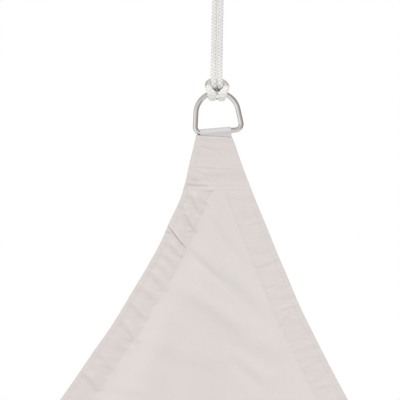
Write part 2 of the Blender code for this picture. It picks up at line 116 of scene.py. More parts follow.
TIP_SHIFT = 0.00034  # of the shown tip to the right of the hitch
RING_TILT = math.radians(8.9)
HITCH_TURN = math.radians(4.7)  # place of the hitch on the ring's round side
ROPE_LEAN = math.radians(3.0)
TAB_SHIFT = -0.0031  # of the shown tab along its bar
PATCH_LEANS = {"top": math.radians(4.0), "left": 0.0, "right": 0.0}  # of the patches' lower edges

# The shown corner's outline: (distance in from the tip, left side, right side), in millimetres
SHOWN_OUTLINE = (
    (0.0, -17.9, 17.8),
    (10.0, -19.35, 22.3),
    (26.0, -22.2, 29.1),
    (52.0, -26.2, 41.3),
    (66.0, -29.9, 48.1),
    (88.0, -38.4, 59.1),
    (110.0, -46.3, 69.8),
    (135.0, -57.8, 82.6),
    (160.0, -70.5, 95.2),
    (194.0, -87.9, 114.8),
    (226.0, -107.0, 134.1),
    (255.0, -123.9, 152.2),
)

# Broad folds in the shown corner, in millimetres:
# (across, in) where it starts, (across, in) where it ends, bow of its middle downwards, half width,
# height. The cloth stands forward above the line and back below it.
SHOWN_FOLDS = (
    ((4, 50), (20, 79), 0, 7, -0.35),
    ((0, 78), (44, 128), 0, 6, 0.45),
    ((-18.5, 112), (67.5, 180), -3, 9, 0.85),
    ((-33, 152), (83, 221), 7, 14, 1.00),
    ((-60, 209), (28, 234), 4, 13, 0.45),
    ((32, 217), (70, 247), 0, 8, 0.90),
    ((-92, 258), (-48, 266), 0, 8, 0.35),
)

# Creases and puckers in the shown corner, in millimetres:
# (across, in) at its left end, (across, in) at its right end, half width, height of the crest above it
CREASES = (
    ((-23.6, 79.5), (-13.6, 98.5), 3.2, 2.10),
    ((-20.0, 59.5), (-9.0, 79.0), 4.0, 1.75),
    ((-9.5, 62), (-2.5, 72), 3.4, 0.55),
    ((-27.0, 70.8), (-21.5, 83.8), 3.0, 1.00),
    ((-16.5, 114), (21.5, 146), 4.5, 0.55),
    ((-14.0, 160), (44.0, 197), 9.0, 0.85),
    ((-44.0, 97), (-36.0, 101), 2.4, 0.70),
    ((-38.1, 109.7), (-25.1, 124.7), 3.4, 1.05),
    ((-44.4, 119.5), (-28.9, 136.5), 4.4, 0.75),
    ((-49.6, 130.2), (-33.6, 146.2), 4.4, 0.65),
    ((-54.2, 139), (-39.2, 160), 4.6, 1.15),
    ((-62.5, 156), (-45.5, 173), 4.8, 0.70),
    ((-72.1, 172.5), (-55.6, 190.5), 4.0, 1.00),
    ((-78.0, 192), (-64.0, 214), 4.8, 1.40),
    ((-87.7, 208.7), (-71.7, 226.7), 4.6, 0.45),
    ((-98.5, 226), (-84.0, 246), 5.0, 0.60),
    ((-116.5, 243.5), (-96.5, 264.5), 5.0, 1.30),
    ((38.0, 88), (52.0, 82), 2.0, 0.15),
    ((50.0, 129.5), (69.5, 121), 2.1, 0.30),
    ((77.0, 170), (97.0, 162), 1.8, 0.34),
    ((77.0, 187), (88.0, 170), 2.2, 0.22),
    ((86.0, 201), (100.0, 195), 2.0, 0.15),
    ((98.0, 195), (112.0, 197), 2.0, 0.14),
    ((102.0, 227.5), (123.0, 215), 2.2, 0.20),
    ((117.0, 245.5), (134.0, 240), 2.2, 0.15),
)

# Tucks, where the cloth laps over itself: (across, in) at its left and right ends, width, height
TUCKS = (((-39.9, 92.6), (-20.8, 113.0), 4.0, 1.60),)

# Folds of the shown corner's patch, in the same form as the creases
PATCH_CREASES = (
    ((-21.0, 34.5), (-5.0, 39.5), 1.8, 0.24),
    ((-7.5, 38.0), (0.5, 49.0), 1.8, 0.20),
    ((-20.5, 44.0), (-10.0, 46.5), 2.8, 0.42),
    ((-24.5, 50.8), (-2.5, 50.3), 2.6, 0.85),
    ((-21.0, 53.8), (-6.0, 53.4), 1.2, 0.26),
    ((-6.0, 51.9), (1.5, 56.0), 1.0, 0.20),
    ((0.5, 49.2), (4.6, 51.6), 1.0, 0.12),
    ((-15.8, 9.6), (-4.5, 12.8), 1.3, 0.12),
    ((-6.0, 12.2), (20.0, 14.2), 1.4, 0.12),
    ((4.6, 15.2), (9.6, 21.6), 1.2, 0.14),
    ((-20.4, 32.6), (-3.0, 31.5), 1.1, 0.13),
    ((-5.0, 32.0), (29.5, 31.8), 1.1, 0.10),
    ((-15.9, 10.1), (-15.2, 23.6), 1.2, 0.32),
    ((-16.9, 23.7), (-17.1, 28.3), 1.2, 0.30),
    ((5.4, 20.7), (6.6, 33.6), 1.2, 0.20),
)

# Long tension folds that fan out of the corners:
# (corner, degrees across from straight in, half width in degrees, height in mm, reach in metres)
TENSION_FOLDS = (
    ("top", -12, 5, 5, 0.75),
    ("top", 7, 6, -6, 0.90),
    ("top", 21, 4, 4, 0.70),
    ("left", -4, 2.5, -6, 0.90),
    ("left", 3, 2.5, 6, 1.10),
    ("right", -5, 2.5, 5, 1.00),
    ("right", 2, 3.0, -7, 0.90),
)
FOLDS_FROM = 0.07  # how far in they start to grow
FOLDS_GROW = 0.25  # and the length in which they do
FOLDS_CLEAR = 0.05  # share of the sail beside its edges in which they fade

# The cloth lies behind a corner's tab as far in as the first distance, and no longer from the second on
LAY_BACK = {"top": (0.034, 0.056), "left": (0.06, 0.31), "right": (0.06, 0.31)}

# Fine mesh of the cloth
FINE_ROW = 0.0010  # height of a row in the shown corner
FINE_REACH = 0.290  # how far down the rows are that fine
LONG_ROWS = 112  # rows below that
GROWTH_STEP = 0.0005  # fineness with which their growth is found
BASE_HEM_ROWS = 9
HEM_COLUMNS = 26
MIDDLE_COLUMNS = 118
COLUMN_BUNCHING = 0.35  # how much closer the columns stand beside the hems
HEM_SHARE_MOST = 0.42  # of a row's width for one hem
EDGE_STEPS = 420
BASE_STEPS = 2000
HEM_BACK = 0.0011  # how far the folded hem stands behind the front of the cloth


def turned(vector, angle):
    """A plane vector turned anticlockwise, seen from the front."""
    x, z = vector
    cos, sin = math.cos(angle), math.sin(angle)
    return np.array((x * cos - z * sin, x * sin + z * cos))


UP = np.array((0.0, 1.0))
RIGHT = np.array((1.0, 0.0))
HITCH = -LOOP_SEAT * turned(UP, ROPE_LEAN) - STRAND_SHIFT * turned(RIGHT, ROPE_LEAN)
RING_ROUND = HITCH - RING_TOP_R * turned(UP, HITCH_TURN)
BAR = RING_ROUND - (RING_TALL - RING_TOP_R) * turned(UP, RING_TILT)
TAB_PLACE = BAR + TAB_SHIFT * turned(RIGHT, RING_TILT)
TOP_TIP = np.array((HITCH[0] + TIP_SHIFT, BAR[1] - BAR_OUT))


class Corner:
    """A corner of the sail: its tip, and the plane directions in and across."""

    def __init__(self, tip, inward):
        self.tip = np.array(tip)
        self.inward = np.array(inward)
        self.across = np.array((-inward[1], inward[0]))

    def place(self, across, inward):
        return self.tip + across * self.across + inward * self.inward

    def local(self, x, z):
        """Arrays across and in, for arrays of places."""
        from_x, from_z = x - self.tip[0], z - self.tip[1]
        return (
            from_x * self.across[0] + from_z * self.across[1],
            from_x * self.inward[0] + from_z * self.inward[1],
        )


def sail_corners():
    """The three corners. Their rings' far ends are the corners of a right-angled triangle."""
    reach = RING_TALL + LOWER_BAR_OUT
    far = TOP_TIP + (RING_TALL + BAR_OUT) * UP
    side = LEG * math.sqrt(0.5)
    cos, sin = math.cos(LOWER_BISECTOR), math.sin(LOWER_BISECTOR)
    left_tip = far + (-side + reach * cos, -side + reach * sin)
    right_tip = far + (side - reach * cos, -side + reach * sin)
    return {
        "top": Corner(TOP_TIP, (0.0, -1.0)),
        "left": Corner(left_tip, (cos, sin)),
        "right": Corner(right_tip, (-cos, sin)),
    }


CORNERS = sail_corners()


def bar_places():
    """For each corner: the middle of the ring's bar, the middle of the tab on it, and their turn."""
    places = {"top": (BAR, TAB_PLACE, RING_TILT)}
    for name in ("left", "right"):
        corner = CORNERS[name]
        bar = corner.place(0.0, -LOWER_BAR_OUT)
        places[name] = (bar, bar, math.atan2(corner.inward[0], -corner.inward[1]))
    return places


BARS = bar_places()


def step(value):
    """0 below 0, 1 above 1, and smooth between."""
    value = np.clip(value, 0.0, 1.0)
    return value * value * (3 - 2 * value)


def ease(value, start, end):
    """0 up to a start, 1 from an end on, and smooth between. Both are in millimetres."""
    return step((value / MM - start) / (end - start))


def hump(value, width):
    """1 at 0, falling softly to both sides over a width in millimetres."""
    return np.exp(-((value / (width * MM)) ** 2))


def unit(vectors):
    """Vectors at length 1."""
    return vectors / np.linalg.norm(vectors, axis=-1, keepdims=True)


def hermite(start, end, start_way, end_way, t):
    """A point of the smooth curve that leaves start along start_way and arrives along end_way."""
    return (
        (2 * t**3 - 3 * t**2 + 1) * start
        + (t**3 - 2 * t**2 + t) * start_way
        + (3 * t**2 - 2 * t**3) * end
        + (t**3 - t**2) * end_way
    )


def shown_half_widths(inward):
    """The outline's left and right sides at a distance in from the top tip."""
    rows = np.array(SHOWN_OUTLINE) * MM
    slopes = np.gradient(rows[:, 1:], rows[:, 0], axis=0)
    slopes[-1] = (-math.tan(LEG_JOIN_SLOPE), math.tan(LEG_JOIN_SLOPE))
    row = min(int(np.searchsorted(rows[:, 0], inward, side="right")) - 1, len(rows) - 2)
    length = rows[row + 1, 0] - rows[row, 0]
    t = (inward - rows[row, 0]) / length
    return hermite(rows[row, 1:], rows[row + 1, 1:], slopes[row] * length, slopes[row + 1] * length, t)


def side_edge(side):
    """Points down the left (-1) or right (+1) edge, as far as the lower corner's tip."""
    name, column = ("left", 0) if side < 0 else ("right", 1)
    places = np.linspace(0.0, SHOWN_OUTLINE[-1][0] * MM, EDGE_STEPS // 2 + 1)
    points = [TOP_TIP + (shown_half_widths(inward)[column], -inward) for inward in places]
    start, end = points.pop(), CORNERS[name].place(-side * TIP / 2, 0.0)
    chord = float(np.linalg.norm(end - start))
    start_way, end_way = (
        chord * np.array((side * math.sin(slope), -math.cos(slope)))
        for slope in (LEG_JOIN_SLOPE, math.radians(45) + LEG_END_SLOPE)
    )
    for t in np.linspace(0.0, 1.0, EDGE_STEPS):
        points.append(hermite(start, end, start_way, end_way, t))
    return np.array(points)


LEFT_EDGE = side_edge(-1)
RIGHT_EDGE = side_edge(+1)
BASE_LEFT = CORNERS["left"].place(-TIP / 2, 0.0)
BASE_RIGHT = CORNERS["right"].place(TIP / 2, 0.0)
BASE_RISE = math.tan(BASE_SLOPE) / 4 * float(BASE_RIGHT[0] - BASE_LEFT[0])


def base_point(share):
    """Points of the lower edge at shares of its width."""
    share = np.asarray(share)[:, None]
    line = BASE_LEFT + share * (BASE_RIGHT - BASE_LEFT)
    line[:, 1] += 4 * BASE_RISE * (share * (1 - share))[:, 0]
    return line


def at_height(edge, z):
    """The point of a side edge at a height."""
    return np.array((np.interp(-z, -edge[:, 1], edge[:, 0]), z))


def tab_local(corner_name, x, z):
    """Places as (along the ring's bar from the tab's middle, in from the bar)."""
    _, middle, turn = BARS[corner_name]
    along, out = turned(RIGHT, turn), turned(UP, turn)
    from_x, from_z = x - middle[0], z - middle[1]
    return from_x * along[0] + from_z * along[1], -(from_x * out[0] + from_z * out[1])


def room_for_tab(corner_name, x, z):
    """Half the room that the cloth on both sides leaves for the webbing tab at each place."""
    inward = tab_local(corner_name, x, z)[1]
    loop = WIRE / 2 + GAP + WEB
    leave_in, leave_half = loop * math.cos(TAB_LEAVE), loop * math.sin(TAB_LEAVE)
    half_way = math.sqrt(loop**2 - (leave_in / 2) ** 2)
    return np.interp(inward, (0.0, leave_in / 2, leave_in, CLOSED), (loop, half_way, leave_half, WEB))


# ---------------------------------------------------------------- the cloth's folds


def soft_fold(across, inward, start, end, bow, half_width):
    """1 on the crest above a fold's line, -1 in the trough below it, and smooth between and around."""
    start, end = np.array(start) * MM, np.array(end) * MM
    along = end - start
    length = np.linalg.norm(along)
    off_across, off_in = across - start[0], inward - start[1]
    share = np.clip((off_across * along[0] + off_in * along[1]) / length**2, 0.0, 1.0)
    past_line = (-off_across * along[1] + off_in * along[0]) / length
    from_line = (past_line - bow * MM * 4 * share * (1 - share)) / (half_width * MM)
    ends = np.sin(np.pi * share) ** 0.5
    return -ends * math.sqrt(2 * math.e) * from_line * np.exp(-(from_line**2))


def tension_fold(corner, x, z, angle, half_angle, reach):
    """1 along a fold that fans out of a corner, growing from the tip and dying out past its reach."""
    across, inward = CORNERS[corner].local(x, z)
    distance = np.hypot(across, inward) / reach
    turn = np.degrees(np.arctan2(across, np.maximum(inward, 1e-6))) - angle
    along = (3 * distance * np.exp(1 - 3 * distance)) ** 2
    return along * step((inward - FOLDS_FROM) / FOLDS_GROW) * np.exp(-((turn / half_angle) ** 2))


def cloth_depth(x, z, share_across, share_down):
    """How far back the middle of the cloth lies at each place, from the plane of the rings."""
    across, inward = CORNERS["top"].local(x, z)
    back = BELLY * np.sin(np.pi * share_across) * np.sin(np.pi * share_down) ** 3
    for start, end, bow, half_width, height in SHOWN_FOLDS:
        back = back - height * MM * soft_fold(across, inward, start, end, bow, half_width)
    hem = np.minimum(np.minimum(share_across, 1 - share_across), 1 - share_down)
    for corner, angle, half_angle, height, reach in TENSION_FOLDS:
        fold = tension_fold(corner, x, z, angle, half_angle, reach)
        back = back - height * MM * fold * step(hem / FOLDS_CLEAR)
    past = {name: corner.local(x, z)[1] for name, corner in CORNERS.items()}
    nearest = np.minimum(np.minimum(past["top"], past["left"]), past["right"])
    behind = np.zeros_like(x)
    for name, (low, high) in LAY_BACK.items():
        half = room_for_tab(name, x, z) + 1.5 * GAP + CLOTH / 2
        eased = half * (1 - step((nearest - low) / (high - low)))
        behind = np.where(past[name] == nearest, eased, behind)
    return back + behind


LUMP_WAVES = 7


def lumps(first, second, wave, seed):
    """Soft uneven waves between -1 and 1 over two coordinates in metres."""
    chance = np.random.default_rng(seed)
    total = np.zeros_like(first)
    for _ in range(LUMP_WAVES):
        turn, phase = chance.uniform(0.0, 2 * np.pi, 2)
        length = wave * chance.uniform(0.7, 1.5)
        way = first * math.cos(turn) + second * math.sin(turn)
        total = total + np.sin(2 * np.pi * way / length + phase)
    return total / (LUMP_WAVES / 2)


# The hems' fine relief
SEAM_SUNK = 0.00008  # depth of the groove along a hem's seam
HEM_RAISED = 0.00014  # height of the hem over its inner layers
HEM_LUMPS = 0.00010
ROLLED = 0.0011  # how far back the inner side of the shown left hem rolls
EDGE_PUCKER = 0.0046  # from one small pucker beside the stitched edge to the next
EDGE_PUCKER_TALL = 0.00013
SEAM_PUCKER_TALL = 0.00008


def creased(across, inward, creases):
    """Height of a table's creases."""
    height = np.zeros_like(across)
    for left, right, half_width, tall in creases:
        height += tall * MM * soft_fold(across, inward, left, right, 0.0, half_width)
    return height


def fine_relief(x, z, from_edge, along_edge):
    """Height towards the front of seams, puckers and creases."""
    across, inward = CORNERS["top"].local(x, z)
    height = creased(across, inward, CREASES)
    seam = from_edge - HEM
    patchy = 0.55 + 0.45 * lumps(along_edge, along_edge * 0.3, 0.030, 12)
    on_left = ease(-across, -6, 6)
    height -= SEAM_SUNK * patchy * hump(seam, 1.4) * (1 - 0.6 * on_left)
    height += HEM_RAISED * patchy * (1 - ease(seam, -2.5, 1.5))
    rolled = ease(seam, -15, -1) * (1 - ease(seam, 1, 27)) * (1 - ease(inward, 250, 300))
    height -= ROLLED * rolled * on_left * (1 + 0.4 * patchy)
    height += HEM_LUMPS * (1 - ease(seam, -1, 2)) * lumps(from_edge * 0.7, along_edge * 1.2, 0.011, 4)
    uneven = along_edge + 0.0016 * lumps(along_edge, along_edge, 0.021, 9)
    level = np.sin(2 * np.pi * uneven / EDGE_PUCKER)
    slanted = np.sin(2 * np.pi * (uneven + 0.5 * seam) / (1.35 * EDGE_PUCKER))
    puckers = EDGE_PUCKER_TALL * hump(from_edge - 3.2 * MM, 2.6) * level
    puckers += SEAM_PUCKER_TALL * hump(seam + 2.4 * MM, 2.2) * slanted
    height += (0.5 + 0.5 * on_left) * puckers
    for name, corner in CORNERS.items():
        across, inward = corner.local(x, z)
        past_patch = inward + across * math.tan(PATCH_LEANS[name]) - PATCH_LONG
        height *= ease(past_patch, -1.5, 3.0)
    return height


# ---------------------------------------------------------------- meshes and materials


def new_mesh(name, points, faces, values=None):
    """A smooth-shaded mesh object from arrays, with optional named values per point."""
    mesh = bpy.data.meshes.new(name)
    points = np.asarray(points, dtype=np.float32).reshape(-1, 3)
    faces = np.asarray(faces, dtype=np.int32)
    mesh.vertices.add(len(points))
    mesh.vertices.foreach_set("co", points.ravel())
    mesh.loops.add(faces.size)
    mesh.loops.foreach_set("vertex_index", faces.ravel())
    mesh.polygons.add(len(faces))
    mesh.polygons.foreach_set("loop_start", np.arange(len(faces), dtype=np.int32) * faces.shape[1])
    mesh.update(calc_edges=True)
    mesh.validate()
    mesh.shade_smooth()
    for key, column in (values or {}).items():
        attribute = mesh.attributes.new(key, "FLOAT", "POINT")
        attribute.data.foreach_set("value", np.asarray(column, dtype=np.float32).ravel())
    made = bpy.data.objects.new(name, mesh)
    bpy.context.scene.collection.objects.link(made)
    return made


def new_piece(name, points, faces, material, node=None, values=None):
    """A piece of the sail with its material, which hides the plain solid that it stands for."""
    piece = new_mesh(name, points, faces, values)
    piece.data.materials.append(material)
    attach(piece, "root")
    if node:
        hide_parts(node)
    return piece


def doubled(shade):
    """Values of the cloth's material for a piece of doubled cloth, painted darker as doubled cloth, with
    a painted shade at each point.
    """
    flat = np.zeros_like(shade)
    return {"layers": flat + 1.0, "edge": flat + HEM, "along": flat, "shade": shade}


def grid_faces(rows, columns, wrap_rows=False, wrap_columns=False):
    """Quads over a grid of points stored row by row."""
    down = np.arange(rows if wrap_rows else rows - 1)
    right = np.arange(columns if wrap_columns else columns - 1)
    down, right = (part.ravel() for part in np.meshgrid(down, right, indexing="ij"))
    below, beside = (down + 1) % rows, (right + 1) % columns
    first = down * columns + right
    return np.column_stack(
        (first, below * columns + right, below * columns + beside, down * columns + beside)
    )


class Nodes:
    """The nodes of a material or of the surroundings, added one by one."""

    def __init__(self, owner):
        owner.use_nodes = True
        self.owner, self.tree = owner, owner.node_tree

    def add(self, kind, **settings):
        node = self.tree.nodes.new("ShaderNode" + kind)
        for key, value in settings.items():
            setattr(node, key, value)
        return node

    def feed(self, socket, value):
        """Links a node's output to a socket, or sets the socket to a value."""
        if hasattr(value, "links"):
            self.tree.links.new(value, socket)
        else:
            socket.default_value = value

    def set(self, node, **inputs):
        for key, value in inputs.items():
            self.feed(node.inputs[key.replace("_", " ")], value)
        return node

    def surface(self, **inputs):
        """Sets the surface's own shader, and returns the material."""
        self.set(self.tree.nodes["Principled BSDF"], **inputs)
        return self.owner

    def math(self, operation, first, second=0.0):
        node = self.add("Math", operation=operation)
        for socket, value in zip(node.inputs, (first, second)):
            self.feed(socket, value)
        return node.outputs[0]

    def wave(self, value, length):
        """A sine wave over a value, as long as a length."""
        return self.math("SINE", self.math("MULTIPLY", value, 2 * math.pi / length))

    def noise(self, place, scale, detail=2.0, roughness=0.5):
        node = self.add("TexNoise")
        self.set(node, Vector=place, Scale=scale, Detail=detail, Roughness=roughness)
        return node.outputs["Fac"]

    def bump(self, height, distance, strength, after=None):
        node = self.set(self.add("Bump"), Height=height, Strength=strength, Distance=distance)
        if after is not None:
            self.set(node, Normal=after)
        return node.outputs["Normal"]

    def mix(self, share, first, second):
        node = self.add("Mix", data_type="RGBA")
        self.feed(node.inputs[0], share)
        for socket, value in ((node.inputs[6], first), (node.inputs[7], second)):
            self.feed(socket, value if hasattr(value, "links") else (*value, 1.0))
        return node.outputs[2]

    def attribute(self, name):
        return self.add("Attribute", attribute_name=name).outputs["Fac"]

    def place(self, output="Object"):
        return self.add("TexCoord").outputs[output]


def new_material(name):
    return Nodes(bpy.data.materials.new(name))


YARN = 0.0006  # from one yarn to the next
RIB = 0.0015  # from one rib of the strap to the next
FLOAT = 0.0011  # from one crossing yarn of the strap to the next


def weave_height(nodes, place):
    """A plain weave's height from two crossing waves."""
    split = nodes.set(nodes.add("SeparateXYZ"), Vector=place).outputs
    return nodes.math("MULTIPLY", nodes.wave(split["X"], 2 * YARN), nodes.wave(split["Z"], 2 * YARN))


def hem_crinkles(nodes):
    """Height of small puckers that run across a hem, from the distances from and along its edge."""
    from_edge, along = nodes.attribute("edge"), nodes.attribute("along")
    slanted = nodes.math("ADD", along, nodes.math("MULTIPLY", from_edge, 0.2))
    lay = nodes.add("CombineXYZ")
    nodes.set(lay, X=nodes.math("MULTIPLY", from_edge, 0.35), Y=slanted)
    puckers = nodes.noise(lay.outputs[0], 95.0, 2.0, 0.45)
    in_hem = nodes.add("MapRange", interpolation_type="SMOOTHSTEP")
    nodes.set(in_hem, Value=from_edge, From_Min=HEM, From_Max=HEM - 0.003, To_Min=0.0, To_Max=1.0)
    return nodes.math("MULTIPLY", nodes.math("SUBTRACT", puckers, 0.5), in_hem.outputs[0])


def cloth_material():
    """Cream sailcloth: a fine plain weave and slight crinkles, with painted shade in its colour: darker
    where it is doubled and lets less light through from behind, and dark where a piece's "shade" value
    says.
    """
    nodes = new_material("Cream sailcloth")
    place = nodes.place()
    cream = nodes.mix(nodes.noise(place, 9.0, 3.0), (0.726, 0.676, 0.656), (0.750, 0.702, 0.684))
    # Painted shade: doubled cloth lets less light through from behind, so "layers" mixes in a darker
    # colour
    backlight_shaded = nodes.mix(nodes.attribute("layers"), cream, (0.718, 0.666, 0.645))
    shaded = nodes.mix(nodes.attribute("shade"), backlight_shaded, (0.235, 0.190, 0.170))
    crinkle = nodes.bump(nodes.noise(place, 55.0, 3.0, 0.55), 0.0012, 0.30)
    puckered = nodes.bump(hem_crinkles(nodes), 0.0016, 0.8, after=crinkle)
    weave = nodes.bump(weave_height(nodes, place), 0.00006, 0.5, after=puckered)
    return nodes.surface(
        Base_Color=shaded,
        Normal=weave,
        Roughness=0.86,
        Sheen_Weight=0.12,
        Sheen_Roughness=0.5,
        Specular_IOR_Level=0.25,
    )


def thread_material():
    """Polyester thread, coloured a little darker than the cloth: painted shade of the holes that it
    sinks into.
    """
    nodes = new_material("Sewing thread")
    colour = nodes.mix(nodes.noise(nodes.place(), 400.0), (0.64, 0.59, 0.565), (0.70, 0.65, 0.625))
    return nodes.surface(Base_Color=colour, Roughness=0.7)


def webbing_material():
    """White woven strap: fine lengthwise ribs with small crossing floats, with painted shade down
    between the ribs, on the top of its roll and in the pocket.
    """
    nodes = new_material("White webbing")
    rib = nodes.math("ABSOLUTE", nodes.wave(nodes.attribute("across"), 2 * RIB))
    cross = nodes.wave(nodes.attribute("along"), FLOAT)
    height = nodes.math("ADD", rib, nodes.math("MULTIPLY", cross, 0.3))
    # Painted shade: darker down between the ribs, and much darker where the "shade" value says
    rib_colour = nodes.mix(rib, (0.650, 0.626, 0.632), (0.716, 0.697, 0.708))
    colour = nodes.mix(nodes.attribute("shade"), rib_colour, (0.20, 0.17, 0.16))
    ribbed = nodes.bump(height, 0.00010, 0.6)
    return nodes.surface(Base_Color=colour, Normal=ribbed, Roughness=0.75, Sheen_Weight=0.15)


def steel_material():
    """Bent stainless wire, softly polished."""
    nodes = new_material("Stainless wire")
    place = nodes.place()
    smudges = nodes.noise(place, 160.0, 3.0)
    colour = nodes.mix(smudges, (0.65, 0.625, 0.61), (0.73, 0.715, 0.705))
    rough = nodes.add("MapRange")
    nodes.set(rough, Value=smudges, From_Min=0.3, From_Max=0.7, To_Min=0.14, To_Max=0.24)
    brushed = nodes.bump(nodes.noise(place, 900.0), 0.00005, 0.25)
    return nodes.surface(Base_Color=colour, Normal=brushed, Roughness=rough.outputs[0], Metallic=1.0)


def rope_material():
    """White braided polyester, with painted shade down between its strands, and darker painted shade on
    the hitch's collar and ears.
    """
    nodes = new_material("White braided rope")
    crown = nodes.attribute("crown")
    # Painted shade down between the braid's strands.
    groove_shaded = nodes.mix(crown, (0.56, 0.545, 0.53), (0.88, 0.865, 0.85))
    # Darker colours for the painted shade on the hitch's collar and ears.
    hitch_shaded = nodes.mix(crown, (0.26, 0.225, 0.20), (0.46, 0.415, 0.385))
    return nodes.surface(
        Base_Color=nodes.mix(nodes.attribute("hitch_shade"), groove_shaded, hitch_shaded),
        Normal=nodes.bump(nodes.noise(nodes.place(), 2600.0), 0.00012, 0.35),
        Roughness=0.72,
        Sheen_Weight=0.25,
        Subsurface_Weight=0.5,
        Subsurface_Scale=0.004,
        Subsurface_Radius=(1.0, 1.0, 1.0),
    )


# ---------------------------------------------------------------- the cloth


def row_line(share, into_hem=0.0):
    """A row's left end, right end and rise in its middle. into_hem is 0 to 1 across the lower hem."""
    top, bottom = LEFT_EDGE[0, 1], LEFT_EDGE[-1, 1]
    height = top + share * (bottom - top)
    left, right = at_height(LEFT_EDGE, height), at_height(RIGHT_EDGE, height)
    left = left + into_hem * (BASE_LEFT - left)
    right = right + into_hem * (BASE_RIGHT - right)
    middle_drop = (1 - into_hem) * (TIP * math.cos(LOWER_BISECTOR) - HEM)
    return left, right, (BASE_RISE - middle_drop) * share**3


def row_shares():
    """Shares of the sides' height: even and fine in the shown corner, then ever longer."""
    height = float(LEFT_EDGE[0, 1] - LEFT_EDGE[-1, 1])
    fine = np.arange(0.0, FINE_REACH, FINE_ROW)
    numbers, growth = np.arange(1, LONG_ROWS + 1), 1.0
    while FINE_ROW * (growth**numbers).sum() < height - FINE_REACH:
        growth += GROWTH_STEP
    lengths = growth**numbers
    lower = fine[-1] + (height - fine[-1]) * np.cumsum(lengths) / lengths.sum()
    return np.concatenate((fine, lower)) / height


def hem_places(left, right, rise):
    """For a row's two hems: the share of its width, and the lean of the edge as a tangent."""
    width = float(right[0] - left[0])
    row_way = unit(np.array((1.0, 4 * rise / width)))
    hems = []
    for edge, end, way in ((LEFT_EDGE, left, row_way), (RIGHT_EDGE, right, row_way * (-1.0, 1.0))):
        edge_way = unit(at_height(edge, end[1] - WIRE) - at_height(edge, end[1] + WIRE))
        sine = abs(way[0] * edge_way[1] - way[1] * edge_way[0])
        lean = abs(edge_way[0] / min(edge_way[1], -0.2))
        hems.append((min(HEM / sine / width, HEM_SHARE_MOST), lean))
    return hems


def edge_length(edge):
    """How far along an edge each of its points lies."""
    steps = np.linalg.norm(np.diff(edge, axis=0), axis=1)
    return np.concatenate(((0.0,), np.cumsum(steps)))


# Added to distances along the right and lower edges, so that every edge has puckers of its own
RIGHT_START = 10.0
BASE_START = 20.0


def cloth_rows():
    """Arrays over the cloth's front: x, z, shares across and down, distances from and along the edge."""
    lines = [row_line(share) for share in row_shares()]
    lines += [row_line(1.0, part) for part in np.linspace(0.0, 1.0, BASE_HEM_ROWS + 1)[1:]]
    hem_part = np.linspace(0.0, 1.0, HEM_COLUMNS + 1)
    even = np.linspace(0.0, 1.0, MIDDLE_COLUMNS + 1)
    middle = even - COLUMN_BUNCHING * np.sin(2 * np.pi * even) / (2 * np.pi)
    base_height = float(TOP_TIP[1] - BASE_LEFT[1])
    left_lengths, right_lengths = edge_length(LEFT_EDGE), edge_length(RIGHT_EDGE)
    rows = []
    for number, (left, right, rise) in enumerate(lines):
        (left_hem, left_lean), (right_hem, right_lean) = hem_places(left, right, rise)
        inside = left_hem + (1 - left_hem - right_hem) * middle
        share = np.concatenate((left_hem * hem_part[:-1], inside, 1 - right_hem * hem_part[-2::-1]))
        x = left[0] + share * (right[0] - left[0])
        z = left[1] + share * (right[1] - left[1]) + 4 * rise * share * (1 - share)
        height = base_height - BASE_RISE * 4 * share * (1 - share)
        down = (TOP_TIP[1] - z) / height
        from_left, from_right = HEM * share / left_hem, HEM * (1 - share) / right_hem
        from_side = np.minimum(from_left, from_right)
        along_left = np.interp(-left[1], -LEFT_EDGE[:, 1], left_lengths) - from_left * left_lean
        along_right = np.interp(-right[1], -RIGHT_EDGE[:, 1], right_lengths) - from_right * right_lean
        along = np.where(from_left < from_right, along_left, along_right + RIGHT_START)
        into_base = (number - (len(lines) - 1 - BASE_HEM_ROWS)) / BASE_HEM_ROWS
        from_base = np.maximum(HEM, (1 - down) * height)
        if into_base > 0:
            from_base = np.full_like(x, HEM * (1 - into_base))
        along = np.where(from_base < from_side, x + BASE_START, along)
        rows.append((x, z, share, np.minimum(down, 1.0), np.minimum(from_side, from_base), along))
    return np.array(rows).swapaxes(0, 1)


# The hem's turned-in band, from the edge on: (share of the hem's width, share of its depth)
HEM_BAND = ((0.0, 0.9), (0.04, 1.0), (0.3, 1.0), (0.6, 1.0), (0.9, 1.0), (1.0, 0.95), (1.0, 0.15))
BASE_BAND_BACK = 0.0002  # how far the lower hem's band lies behind the others, which it crosses


def hem_band(edge, seam, further_back=0.0):
    """Lines of points that run from an edge, behind the front, to where the hem is turned in."""
    lines = []
    for part, back in HEM_BAND:
        line = edge + part * (seam - edge)
        line[:, 1] += back * HEM_BACK + further_back
        lines.append(line)
    return lines


